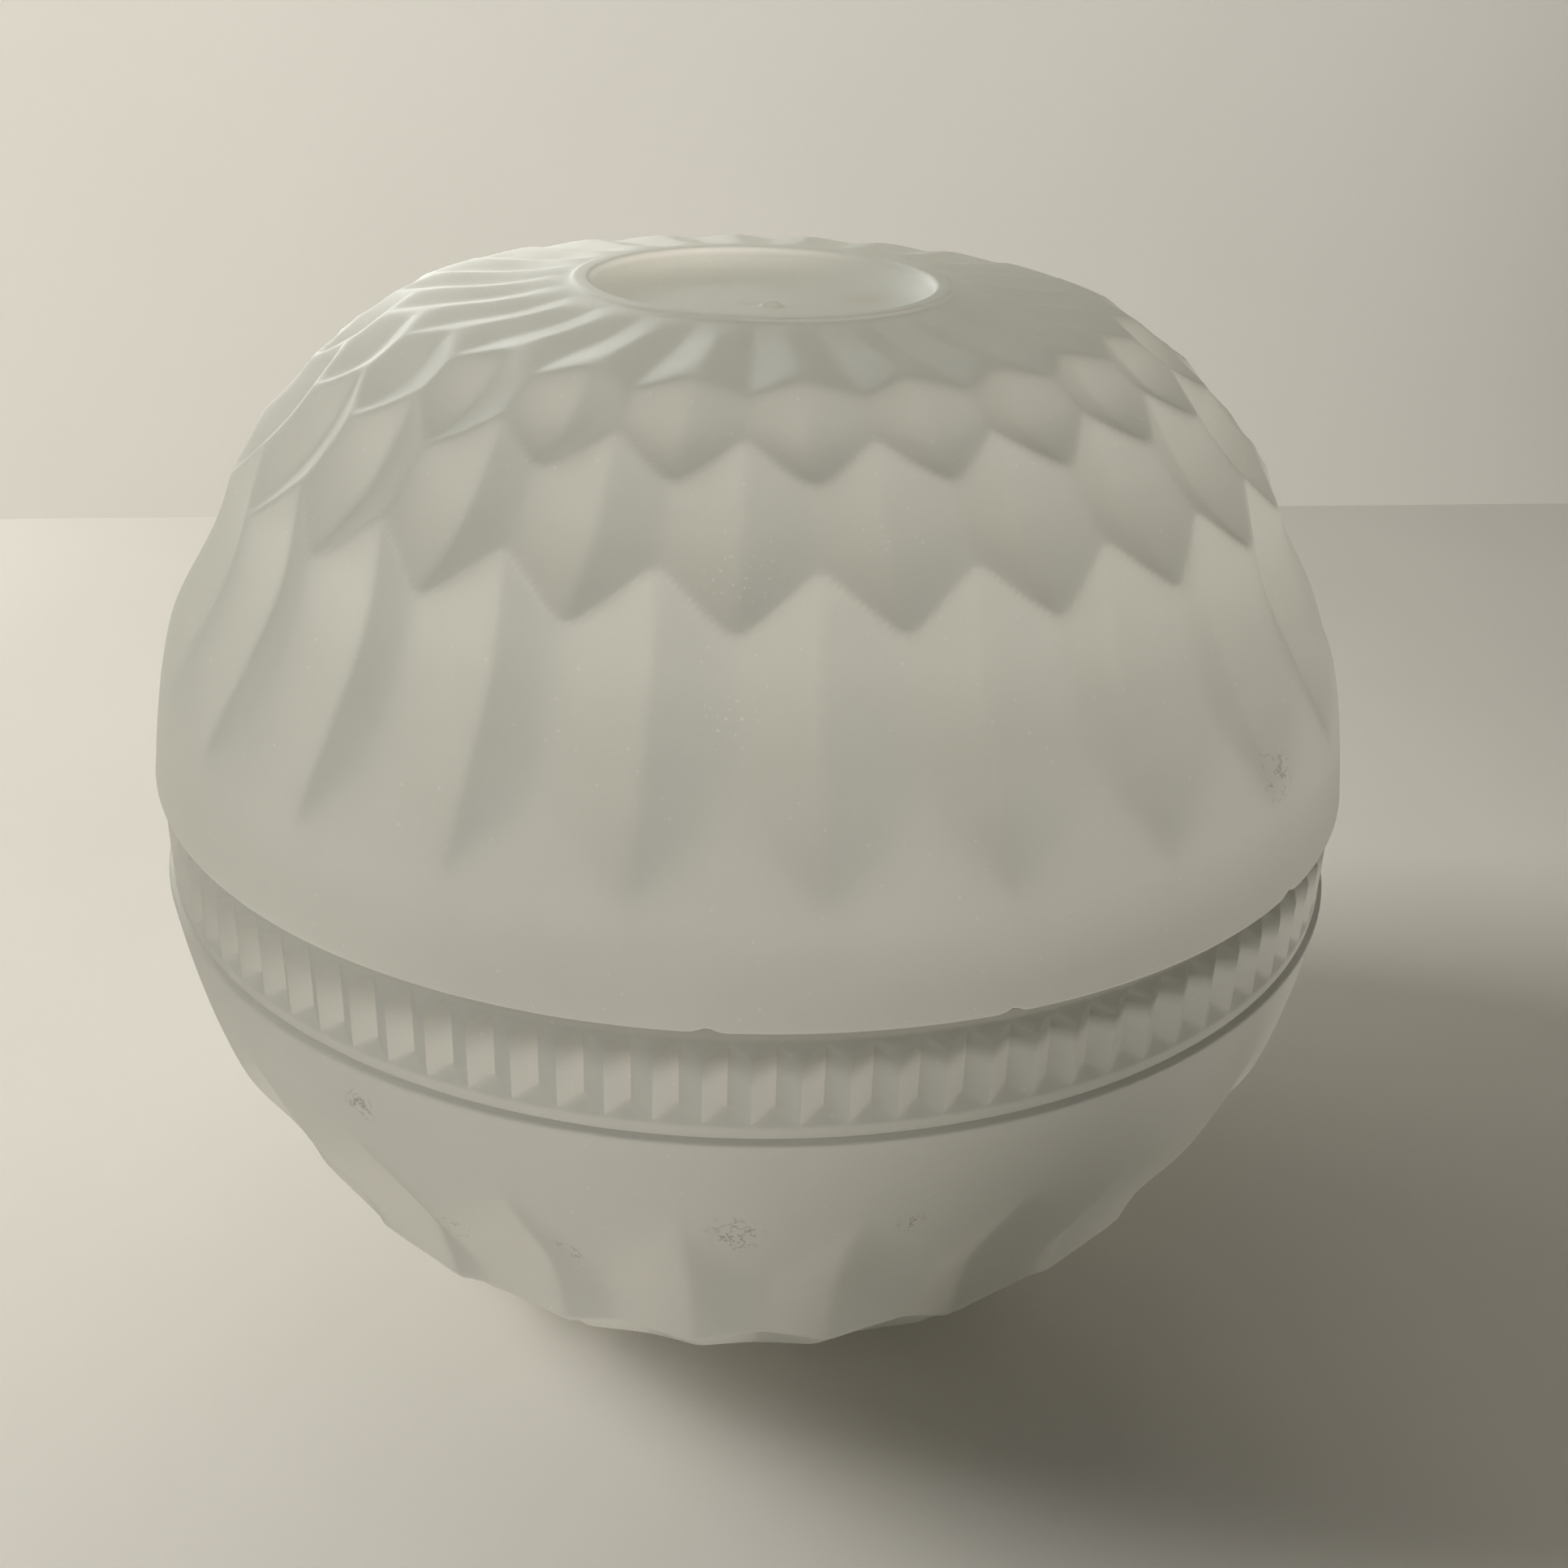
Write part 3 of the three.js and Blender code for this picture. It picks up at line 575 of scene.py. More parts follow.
def dome_part():
    rim = plain_rows(rounded([
        (outline_at(0.84)[0], 0.84), (RIM_RADIUS - 0.02, 0.05), (DOME_BORE + 0.9, 0.0),
        (DOME_BORE + 0.25, 0.1), (DOME_BORE, 0.8), (DOME_BORE, 1.1),
    ], 0.75, 6)[1:-1])
    levels = np.arange(1.1, 8.5, THREAD_STEP)
    theta = THETA + math.radians(DOME_TWIST - 90)
    rises = [thread_rise(RIM_Z + level, RIM_Z + 1.2, 30, 50, theta) for level in levels]
    threaded = DOME_BORE - np.array(rises) * (DOME_BORE - DOME_CREST)
    bore_rows = (threaded, np.repeat(levels[:, None], COLUMNS, 1), np.full(threaded.shape, INSIDE))
    inner = inner_profile(10.4)
    step = rounded([(DOME_BORE, 8.4), (DOME_BORE, 9.0), inner[-1] - (0, 0.2), inner[-1]], 0.5, 3)[1:-1]
    groups = [*outside_group(), rim, bore_rows, plain_rows(step, INSIDE), plain_rows(inner[::-1], INSIDE)]
    part = shell_part(groups, lambda d: RIM_Z + d, DOME_TWIST, HALF_DEPTH - RECESS_SEEN, inner[0][1])
    for (x, y, z), reach in RIM_CHIPS:
        away = np.linalg.norm(part.v - np.array([x, y, z]), axis=1)
        part.v[:, 2] += CHIP_DEPTH * np.exp(-(away / reach) ** 2)
    return flipped(gate_mark(part, RIM_Z + HALF_DEPTH - RECESS_SEEN, 1))


def rib_radius(height):
    """Radius of the grip band at every column, at a height over the rim plane."""
    phase = (THETA / (2 * math.pi) * RIB_COUNT) % 1.0
    flank = 1 - np.abs(2 * phase - 1)
    full = RIB_CREST - RIB_VALLEY
    hip = np.clip((-1.4 - height) / 1.1, 0, 1)
    tail = np.clip((-6.9 - height) / 1.4, 0, 1)
    return RIB_VALLEY + full * np.maximum(np.minimum(flank, hip), tail)


def bowl_part():
    edge = plain_rows(rounded([
        (outline_at(0.8)[0], 0.8), (RIM_RADIUS - 0.05, 0.1), (RIM_RADIUS - 0.75, 0.0),
        (RIB_CREST - 0.05, -0.04), (RIB_CREST - 0.05, -0.30), (RIB_CREST - 0.03, -0.36), (RIB_CREST, -0.60),
    ], 0.4, 4)[1:])
    heights = np.arange(-8.62, -0.75, 0.14)
    ribs = (
        np.array([rib_radius(h) for h in heights]),
        np.repeat((-BAND_HEIGHT - heights)[:, None], COLUMNS, 1),
        np.zeros((len(heights), COLUMNS)),
    )

    def at(radius, z):
        return (radius, BOWL_EDGE_Z - z)

    groove_out, groove_in = SEAL_RADIUS + SEAL_GROOVE_HALF, SEAL_RADIUS - SEAL_GROOVE_HALF
    shoulder = plain_rows(rounded([
        at(RIB_VALLEY, RIM_Z - 0.75), at(RIB_VALLEY, SHOULDER_Z), at(groove_out, SHOULDER_Z),
        at(groove_out, SEAL_GROOVE_FLOOR), at(groove_in, SEAL_GROOVE_FLOOR), at(groove_in, SHOULDER_Z),
        at(NECK_OUTER, SHOULDER_Z), at(NECK_OUTER, RIM_Z + 0.2),
    ], 0.3, 3)[1:-1])
    levels = np.arange(RIM_Z + 0.2, NECK_TOP - 0.5, THREAD_STEP)
    theta = THETA + math.radians(BOWL_TWIST - 90)
    rises = [thread_rise(z, RIM_Z + 2.2, 0, 80, theta) for z in levels]
    threaded = NECK_OUTER + np.array(rises) * (NECK_CREST - NECK_OUTER)
    neck = (threaded, np.repeat((BOWL_EDGE_Z - levels)[:, None], COLUMNS, 1), np.full(threaded.shape, INSIDE))
    inner = inner_profile(3.4)
    mouth = plain_rows(rounded([
        at(NECK_OUTER, NECK_TOP - 0.6), at(NECK_OUTER, NECK_TOP), at(NECK_INNER, NECK_TOP),
        at(NECK_INNER, RIM_Z - 5), at(49.6, BOWL_EDGE_Z - 1.0), inner[-1] + (0.0, -0.3), inner[-1],
    ], 0.6, 4)[1:-1], INSIDE)
    groups = [*outside_group(), edge, ribs, shoulder, neck, mouth, plain_rows(inner[::-1], INSIDE)]
    part = shell_part(groups, lambda d: BOWL_EDGE_Z - d, BOWL_TWIST, HALF_DEPTH - RECESS_SEEN, inner[0][1])
    return gate_mark(part, RECESS_SEEN, -1), inner


def boss_part(inner, angle_degrees):
    """Hollow screw post standing on the sloping inside of the bowl."""
    angle = np.arange(40) * 2 * math.pi / 40
    centre = polar(DECK_SCREW_CIRCLE, angle_degrees)

    def ring(radius, z):
        x, y = centre[0] + radius * np.cos(angle), centre[1] + radius * np.sin(angle)
        return np.stack([x, y, np.broadcast_to(z, x.shape)], -1)

    foot = ring(BOSS_RADIUS, 0.0)
    seat = BOWL_EDGE_Z - np.interp(np.hypot(foot[:, 0], foot[:, 1]), inner[:, 0], inner[:, 1]) - 0.6
    edge = BOSS_TOP - 0.4
    rows = [ring(BOSS_RADIUS, seat * (1 - share) + edge * share) for share in np.linspace(0, 1, 12)]
    rows += [ring(BOSS_RADIUS - 0.12, BOSS_TOP - 0.12), ring(BOSS_RADIUS - 0.4, BOSS_TOP)]
    rows += [ring(BOSS_HOLE + 0.3, BOSS_TOP), ring(BOSS_HOLE, BOSS_TOP - 0.3)]
    rows += [ring(BOSS_HOLE, z) for z in (44.0, 40.0, BOSS_HOLE_END)]
    part = grid(rows, start_pole=(*centre, seat.min()), end_pole=(*centre, BOSS_HOLE_END))
    part.mark[:] = INSIDE
    return part


# ---------------------------------------------------------------- looks
class Look:
    """One procedural material and its node tree."""

    def __init__(self, name):
        self.material = bpy.data.materials.new(name)
        self.material.use_nodes = True
        self.tree = self.material.node_tree
        self.tree.nodes.clear()
        self.out = self.node("ShaderNodeOutputMaterial")
        self.where = self.node("ShaderNodeTexCoord").outputs["Object"]

    def node(self, kind, inputs=None, **settings):
        made = self.tree.nodes.new(kind)
        for key, value in settings.items():
            setattr(made, key, value)
        for key, value in (inputs or {}).items():
            self.feed(made.inputs[key], value)
        return made

    def feed(self, socket, value):
        if isinstance(value, bpy.types.NodeSocket):
            self.tree.links.new(value, socket)
        else:
            socket.default_value = value

    def noise(self, scale_mm, detail=3.0, roughness=0.5, stretch=None):
        """Noise with features about scale_mm wide."""
        source = self.where
        if stretch:
            settings = {0: source, 1: stretch}
            source = self.node("ShaderNodeVectorMath", settings, operation="MULTIPLY").outputs[0]
        settings = {"Vector": source, "Scale": 1 / (scale_mm * MM), "Detail": detail, "Roughness": roughness}
        return self.node("ShaderNodeTexNoise", settings).outputs["Fac"]

    def cells(self, scale_mm, feature="F1", randomness=1.0):
        settings = {"Vector": self.where, "Scale": 1 / (scale_mm * MM), "Randomness": randomness}
        return self.node("ShaderNodeTexVoronoi", settings, feature=feature).outputs["Distance"]

    def remap(self, value, low, high, to_low=0.0, to_high=1.0):
        settings = {"Value": value, "From Min": low, "From Max": high, "To Min": to_low, "To Max": to_high}
        return self.node("ShaderNodeMapRange", settings, clamp=True).outputs[0]

    def math(self, operation, *values):
        return self.node("ShaderNodeMath", dict(enumerate(values)), operation=operation).outputs[0]

    def mix(self, factor, a, b):
        """Colour between a and b."""
        made = self.node("ShaderNodeMix", data_type="RGBA")
        self.feed(made.inputs[0], factor)
        self.feed(made.inputs[6], a)
        self.feed(made.inputs[7], b)
        return made.outputs[2]

    def attribute(self, name):
        return self.node("ShaderNodeAttribute", attribute_name=name).outputs["Fac"]

    def near_any(self, spots, core):
        """1 inside any of the spots, fading from the core share of their reach to 0 at their edge."""
        found = None
        for middle, reach in spots:
            settings = {0: self.where, 1: [c * MM for c in middle]}
            away = self.node("ShaderNodeVectorMath", settings, operation="DISTANCE").outputs["Value"]
            near = self.remap(away, core * reach * MM, reach * MM, 1.0, 0.0)
            found = near if found is None else self.math("MAXIMUM", found, near)
        return found

    def bump(self, height, distance_mm, strength):
        settings = {"Height": height, "Distance": distance_mm * MM, "Strength": strength}
        return self.node("ShaderNodeBump", settings).outputs[0]

    def finish(self, shader):
        self.tree.links.new(shader, self.out.inputs["Surface"])
        return self.material

    def cloud(self, scale_mm, detail=3.0, roughness=0.5, high=0.65):
        """Slow change from 0 to 1 over the surface."""
        return self.remap(self.noise(scale_mm, detail, roughness), 0.35, high)

    def roughness(self, scale_mm, low, high):
        """Roughness that wanders between two values."""
        return self.remap(self.noise(scale_mm), 0.3, 0.7, low, high)

    def principled(self, base, rough, normal, **more):
        """Principled shader's output; more sockets are named with _ for a space."""
        sockets = {"Base Color": base, "Roughness": rough, "Normal": normal}
        sockets.update({name.replace("_", " "): value for name, value in more.items()})
        return self.node("ShaderNodeBsdfPrincipled", sockets).outputs[0]


def rgb(red, green, blue):
    """Linear colour from 8-bit sRGB values."""
    def linear(value):
        value /= 255
        return value / 12.92 if value <= 0.04045 else ((value + 0.055) / 1.055) ** 2.4
    return (linear(red), linear(green), linear(blue), 1.0)


# Marks of use on the shells, and spots of painted glints: middle in millimetres, and reach.
SCUFFS = [
    ((41.1, -32.7, 61.4), 2.6), ((-29.3, -45.1, 37.5), 1.9), ((-0.4, -52.7, 31.8), 2.6),
    ((12.8, -51.2, 32.1), 1.5), ((-23.4, -45.1, 25.2), 2.3), ((-13.4, -49.6, 26.9), 1.6),
    ((-44.0, 31.0, 66.0), 2.4), ((20.0, 49.0, 33.0), 2.2),
]
DOTS = [
    ((18.6, -31.5, 87.2), 0.26), ((15.4, -33.5, 87.0), 0.2), ((11.5, -34.7, 87.2), 0.2),
    ((-8.5, -45.6, 75.9), 0.2), ((-7.1, -48.0, 71.7), 0.2), ((-13.7, -50.8, 61.2), 0.22),
    ((-2.7, -54.1, 50.6), 0.4), ((19.3, -50.8, 51.1), 0.35),
]
# Spots on the dome where small painted glints sit.
GLINT_SPOTS = [((-1.1, -42.9, 80.9), 3.6), ((-1.6, -48.4, 71.9), 2.6), ((9.0, -39.9, 83.2), 2.8)]
SMUDGE = ((9.0, 3.4, 90.0), 3.0)
GLOW_SHARE = 0.64           # share of the light that passes the frosted wall diffused


def frosted_colour(look, ridge_highlight):
    """Pale grey green with a painted highlight along the crests, specks, scuffs, dots, painted glints and a
    smudge.
    """
    pale = look.mix(look.cloud(26, 3.0, 0.55), rgb(203, 208, 204), rgb(209, 213, 209))
    # Painted highlight along the crests between facet rows.
    colour = look.mix(look.math("MULTIPLY", ridge_highlight, 0.45), pale, rgb(240, 240, 237))
    specks = look.remap(look.cells(1.7), 0.05, 0.09, 1.0, 0.0)
    colour = look.mix(look.math("MULTIPLY", specks, 0.35), colour, rgb(250, 250, 246))
    contour = look.math("ABSOLUTE", look.math("SUBTRACT", look.noise(1.9, 3.0, 0.7), 0.5))
    strokes = look.remap(contour, 0.012, 0.024, 1.0, 0.0)
    broken = look.math("MULTIPLY", strokes, look.remap(look.noise(1.3, 2.0), 0.41, 0.49))
    scuffed = look.math("MULTIPLY", broken, look.near_any(SCUFFS, 0.5))
    colour = look.mix(look.math("MULTIPLY", scuffed, 0.8), colour, rgb(84, 80, 70))
    colour = look.mix(look.math("MULTIPLY", look.near_any(DOTS, 0.7), 0.9), colour, rgb(52, 50, 46))
    # Small painted glints, pure white, in a few spots on the dome.
    glints = look.remap(look.cells(0.62), 0.16, 0.22, 1.0, 0.0)
    painted_glints = look.math("MULTIPLY", look.near_any(GLINT_SPOTS, 0.3), glints)
    colour = look.mix(look.math("MULTIPLY", painted_glints, 0.7), colour, rgb(255, 255, 255))
    smudged = look.math("MULTIPLY", look.near_any([SMUDGE], 0.1), 0.22)
    return look.mix(smudged, colour, rgb(168, 140, 122))


def frosted_look():
    """Rough translucent wall that lets part of the light through."""
    look = Look("frosted_shell")
    mark = look.attribute("mark")
    inside = look.remap(mark, 1.2, 1.8)
    # Painted highlight on the crests from the mark, kept off the inner wall.
    ridge_highlight = look.math("MULTIPLY", look.remap(mark, 0.0, 1.0), look.math("SUBTRACT", 1.0, inside))
    colour = frosted_colour(look, ridge_highlight)
    fine, grain = look.noise(0.55, 2.0, 0.6), look.noise(0.16, 2.0, 0.7)
    height = look.math("ADD", look.math("MULTIPLY", fine, 0.5), look.math("MULTIPLY", grain, 0.5))
    normal = look.bump(height, 0.03, 0.6)
    skin = look.principled(colour, look.roughness(7, 0.46, 0.58), normal, IOR=1.46, Specular_IOR_Level=0.35)
    warm = look.mix(0.7, colour, rgb(233, 226, 220))
    glow = look.node("ShaderNodeBsdfTranslucent", {"Color": warm, "Normal": normal}).outputs[0]
    frosted = look.node("ShaderNodeMixShader", {0: GLOW_SHARE, 1: skin, 2: glow}).outputs[0]
    # Light that only travels on through the wall passes it as if it were one thin frosted sheet.
    path = look.node("ShaderNodeLightPath").outputs
    bounced_in = look.math("MULTIPLY", path["Is Diffuse Ray"], inside)
    passing = look.math("MAXIMUM", path["Is Shadow Ray"], bounced_in)
    leaving = look.node("ShaderNodeNewGeometry").outputs["Backfacing"]
    outer_tint = look.mix(leaving, rgb(110, 110, 108), rgb(200, 199, 196))
    tint = look.mix(inside, outer_tint, rgb(249, 249, 248))
    clear = look.node("ShaderNodeBsdfTransparent", {"Color": tint}).outputs[0]
    return look.finish(look.node("ShaderNodeMixShader", {0: passing, 1: frosted, 2: clear}).outputs[0])


def plastic_look(name, colour, shade, roughness=0.45, scale=14.0, bump=0.02, dirt=rgb(120, 112, 98)):
    """Moulded plastic: cloudy colour, fine texture, faint scratches and grime in spots."""
    look = Look(name)
    base = look.mix(look.cloud(scale, 4.0, 0.6), colour, shade)
    grime = look.remap(look.noise(scale * 0.6, 6.0, 0.7), 0.6, 0.8, 0.0, 0.22)
    base = look.mix(grime, base, dirt)
    scratch = look.noise(0.5, 2.0, 0.5, stretch=(1.0, 0.06, 0.3))
    base = look.mix(look.remap(scratch, 0.70, 0.74, 0.0, 0.2), base, shade)
    height = look.math("ADD", look.noise(0.35, 3.0), look.math("MULTIPLY", scratch, 0.4))
    rough = look.roughness(3.0, roughness - 0.07, roughness + 0.09)
    return look.finish(look.principled(base, rough, look.bump(height, bump, 0.7)))


def metal_look(name, colour, shade, roughness=0.28, stretch=(1.0, 1.0, 0.08), rust=0.0):
    """Bare metal: brushed grain, cloudy tarnish, rust in small spots."""
    look = Look(name)
    grain = look.noise(0.25, 3.0, 0.6, stretch=stretch)
    base = look.mix(look.cloud(5.0, 4.0, 0.6, 0.7), colour, shade)
    spot = look.remap(look.noise(2.2, 6.0, 0.75), 0.62, 0.7, 0.0, rust)
    base = look.mix(spot, base, rgb(112, 72, 44))
    metallic = look.math("SUBTRACT", 1.0, look.math("MULTIPLY", spot, 0.7))
    rough = look.math("ADD", look.remap(grain, 0.3, 0.7, roughness - 0.06, roughness + 0.12), spot)
    return look.finish(look.principled(base, rough, look.bump(grain, 0.015, 0.6), Metallic=metallic))


def board_look():
    """Circuit board: solder mask over copper traces, pale pads."""
    look = Look("board_mask")
    trace = look.remap(look.cells(3.4, "DISTANCE_TO_EDGE"), 0.05, 0.07, 1.0, 0.0)
    mottled = look.mix(look.cloud(6.0), rgb(34, 92, 58), rgb(44, 108, 68))
    base = look.mix(look.math("MULTIPLY", trace, 0.8), mottled, rgb(72, 136, 88))
    pads = look.remap(look.cells(2.6, randomness=0.7), 0.10, 0.12, 1.0, 0.0)
    base = look.mix(look.math("MULTIPLY", pads, 0.85), base, rgb(196, 198, 190))
    rise = look.math("MAXIMUM", trace, pads)
    normal = look.bump(look.math("ADD", rise, look.math("MULTIPLY", look.noise(0.3), 0.2)), 0.04, 0.7)
    return look.finish(look.principled(base, look.roughness(1.5, 0.28, 0.42), normal, Coat_Weight=0.3))


def cell_look():
    """Rechargeable cell: plain grey shrink sleeve, green above a height, worn in spots."""
    look = Look("cell_sleeve")
    height = look.node("ShaderNodeSeparateXYZ", {0: look.where}).outputs[2]
    band = look.remap(height, 0.046, 0.0462)
    cloud = look.cloud(4.0, 4.0)
    grey = look.mix(cloud, rgb(128, 134, 140), rgb(142, 147, 152))
    green = look.mix(cloud, rgb(58, 104, 92), rgb(66, 116, 102))
    wear = look.remap(look.noise(0.8, 5.0, 0.7), 0.64, 0.70, 0.0, 0.5)
    base = look.mix(wear, look.mix(band, grey, green), rgb(190, 190, 186))
    normal = look.bump(look.noise(1.2, 4.0, stretch=(1.0, 1.0, 0.2)), 0.05, 0.5)
    return look.finish(look.principled(base, look.roughness(2.0, 0.3, 0.46), normal, Coat_Weight=0.25))


def lens_look():
    """Clear epoxy of an LED, yellowed a little, with bubbles."""
    look = Look("led_epoxy")
    base = look.mix(look.cloud(1.5), rgb(236, 238, 232), rgb(226, 228, 214))
    bubbles = look.remap(look.cells(0.9), 0.06, 0.1, 1.0, 0.0)
    base = look.mix(look.math("MULTIPLY", bubbles, 0.6), base, rgb(250, 250, 250))
    rough, normal = look.roughness(0.7, 0.06, 0.2), look.bump(look.noise(0.9, 3.0), 0.03, 0.4)
    return look.finish(look.principled(base, rough, normal, Transmission_Weight=0.55, IOR=1.5))


FROSTED = frosted_look()
WHITE = plastic_look("white_plastic", rgb(226, 226, 218), rgb(214, 214, 206), 0.42)
RUBBER = plastic_look("seal_rubber", rgb(206, 204, 196), rgb(190, 188, 178), 0.68, 9.0, 0.04)
BLACK = plastic_look("black_plastic", rgb(34, 35, 37), rgb(46, 47, 50), 0.4, 5.0, 0.02, rgb(90, 88, 84))
RED = plastic_look("red_insulation", rgb(168, 44, 38), rgb(148, 36, 32), 0.42, 4.0, 0.02, rgb(80, 40, 34))
DARK = plastic_look("black_insulation", rgb(30, 30, 31), rgb(44, 44, 45), 0.42, 4.0, 0.02, rgb(84, 82, 78))
STEEL = metal_look("steel", rgb(186, 188, 190), rgb(160, 162, 164), 0.3, rust=0.35)
NICKEL = metal_look("nickel", rgb(200, 196, 186), rgb(178, 172, 158), 0.24, rust=0.15)
BOARD = board_look()
CELL = cell_look()
LENS = lens_look()
SOLDER = metal_look("solder", rgb(196, 198, 200), rgb(170, 172, 172), 0.22, (1.0, 1.0, 1.0), 0.1)
PHOSPHOR = plastic_look("phosphor", rgb(236, 208, 92), rgb(222, 190, 70), 0.4, 1.0, 0.01)
SLEEVE = plastic_look("capacitor_sleeve", rgb(40, 46, 62), rgb(52, 58, 76), 0.38, 3.0)

# ---------------------------------------------------------------- pieces of the shells
make_piece("dome", [(dome_part(), 0)], "dome", ["dome_shell"], [FROSTED])
bowl_wall, bowl_inner = bowl_part()
bowl_parts = [(bowl_wall, 0)] + [(boss_part(bowl_inner, angle), 0) for angle in SCREW_ANGLES]
make_piece("bowl", bowl_parts, "bowl", ["bowl_shell"], [FROSTED])

# ---------------------------------------------------------------- pieces of the inside
def placed(part, xy, z=0.0, turn=0.0):
    return part.turned(turn).moved(xy[0], xy[1], z)


def bore(radius, low, high, xy):
    return placed(lathe([(0, low), (radius, low), (radius, high), (0, high)], 40, 0.01, 1), xy)


lead_holes = [(1.6, polar(LEAD_CIRCLE, angle)) for angle in LEAD_ANGLES.values()]
board_holes = [(1.3, polar(LED_CIRCLE, angle)) for angle in SCREW_ANGLES]
deck_holes = [(1.9, polar(DECK_SCREW_CIRCLE, angle)) for angle in SCREW_ANGLES]


def bores(low, high, *groups):
    return [bore(radius, low, high, xy) for group in groups for radius, xy in group]


def deck_part():
    inner, outer = 14.5, reach_x("lamp_deck")
    corners = [(inner, DECK_BOTTOM), (outer, DECK_BOTTOM), (outer, DECK_TOP), (inner, DECK_TOP)]
    half, low, high = 2.8, low_z("lamp_deck"), DECK_TOP - 0.5
    post = [(0, low), (half, low), (half, high), (0, high)]
    posts = [placed(lathe(post, 40, 0.3), xy) for _, xy in board_holes]
    holes = bores(DECK_BOTTOM - 5, DECK_TOP + 3, lead_holes, board_holes, deck_holes)
    return carved([lathe(corners, 192, 0.35), *posts], holes)


def dish_part():
    low = DECK_TOP + 0.3
    dish = lathe([
        (35.2, low), (43.2, low), (43.9, low + 2.1), (44.6, low + 4.2),
        (45.3, DECK_TOP + 6.6), (44.3, DECK_TOP + 6.6), (43.7, DECK_TOP + 4.8),
        (43.0, DECK_TOP + 3.0), (42.4, DECK_TOP + 1.3), (35.2, DECK_TOP + 1.3),
    ], 192, 0.4)
    return carved([dish], bores(DECK_BOTTOM, DECK_TOP + 3, deck_holes))


def board_parts():
    inner, outer, low = 21.5, reach_x("led_board"), DECK_TOP + 0.3
    plate = lathe([(inner, low), (outer, low), (outer, BOARD_TOP), (inner, BOARD_TOP)], 192, 0.12)
    parts = [(carved([plate], bores(DECK_BOTTOM, BOARD_TOP + 1, lead_holes, board_holes)), 0)]
    for k in range(LED_COUNT):
        for way in (-1, 1):
            x, y = polar(LED_CIRCLE + 4.6, 60 * k + way * 3.0)
            parts.append((placed(blob(0.75, 0.45, BOARD_TOP), (x, y)), 1))
        turn = 60 * k + 15
        resistor = slab(1.1, 1.0, 0.45, 0.08)
        parts.append((placed(resistor, polar(PAD_CIRCLE, turn), BOARD_TOP + 0.2, turn), 2))
        for way in (-0.72, 0.72):
            end = slab(1.0, 0.42, 0.47, 0.08)
            parts.append((placed(end, polar(PAD_CIRCLE, turn + way * 2.27), BOARD_TOP + 0.2, turn), 1))
    for angle in LEAD_ANGLES.values():
        parts.append((placed(blob(0.9, 0.5, BOARD_TOP), polar(LEAD_CIRCLE + 2.0, angle + 3)), 1))
    return parts


def led_parts(xy, turn):
    lens = lathe([
        (0, LED_BASE), (2.9, LED_BASE), (2.9, LED_BASE + 1.0), (2.5, LED_BASE + 1.05),
        *[(2.5 * math.cos(a), LED_BASE + 5.2 + 2.5 * math.sin(a)) for a in np.linspace(0, 1.45, 9)],
        (0, LED_BASE + 7.7)], 48, 0.12)
    flat = lens.v[:, 2] < LED_BASE + 1.02
    lens.v[flat, 0] = np.minimum(lens.v[flat, 0], 2.62)
    cup = lathe([
        (0, LED_BASE + 2.6), (0.85, LED_BASE + 2.6), (1.05, LED_BASE + 3.5), (0.8, LED_BASE + 3.45),
        (0.55, LED_BASE + 2.95), (0, LED_BASE + 2.95)], 32, 0.06)
    anvil = slab(0.55, 0.9, 2.3, 0.1).moved(0, 0, LED_BASE + 1.6)
    post = stack([
        (0.5, 0.6, 0.1, LED_BASE + 0.5), (0.5, 0.6, 0.1, LED_BASE + 2.8),
        (0.9, 0.5, 0.1, LED_BASE + 3.3), (0.8, 0.4, 0.1, LED_BASE + 3.5),
    ]).moved(1.45, 0, 0)
    bead = blob(0.5, 0.22, LED_BASE + 3.05)
    parts = [(lens, 0), (cup, 1), (anvil, 1), (post, 1), (bead, 2)]
    return [(placed(part, xy, 0, turn), look) for part, look in parts]


def chip_parts():
    turn = 30
    body = stack([
        (2.9, 4.5, 0.1, -0.62), (3.1, 4.8, 0.15, -0.05), (3.1, 4.8, 0.15, 0.1), (2.8, 4.5, 0.12, 0.7),
        (2.7, 4.4, 0.1, 0.75)])
    dot = lathe([(0, 0.70), (0.28, 0.70), (0.28, 0.79), (0.18, 0.76), (0, 0.76)], 20, 0.02)
    parts = [(body, 0), (dot.moved(-0.9, 1.7, 0), 1)]
    bend = ((1.35, 0), (1.66, 0), (1.76, -0.2), (1.8, -0.6), (1.98, -0.68))
    for side in (-1, 1):
        for y in (-1.725, -0.575, 0.575, 1.725):
            leg = tube(curve([(side * x, y, z) for x, z in bend], 3), 0.12, 8)
            leg.v[:, 1] += (leg.v[:, 1] - y) * 0.7
            parts.append((leg, 1))
    return [(placed(part, polar(LED_CIRCLE, turn), LED_BASE + 0.8, turn), look) for part, look in parts]


def capacitor_parts():
    low = LED_BASE
    sleeve = lathe([
        (0, low), (2.3, low), (2.5, low + 0.25), (2.5, low + 1.0), (2.18, low + 1.3),
        (2.18, low + 1.5), (2.5, low + 1.8), (2.5, low + 6.25), (2.3, low + 6.5),
        (1.95, low + 6.5), (1.9, low + 6.3), (0, low + 6.3),
    ], 56, 0.15)
    top = lathe([(0, low + 6.1), (1.88, low + 6.1), (1.88, low + 6.42), (1.7, low + 6.5),
                 *[(r, low + 6.5) for r in np.arange(1.5, 0.1, -0.1)], (0, low + 6.5)], 56, 0.05, 2)
    x, y = np.abs(top.v[:, 0]), np.abs(top.v[:, 1])
    groove = np.exp(-(np.minimum(x, y) / 0.12) ** 2) * (top.v[:, 2] > low + 6.45)
    top.v[:, 2] -= 0.12 * groove
    return [(placed(part, polar(LED_CIRCLE, 150)), look) for part, look in ((sleeve, 0), (top, 1))]


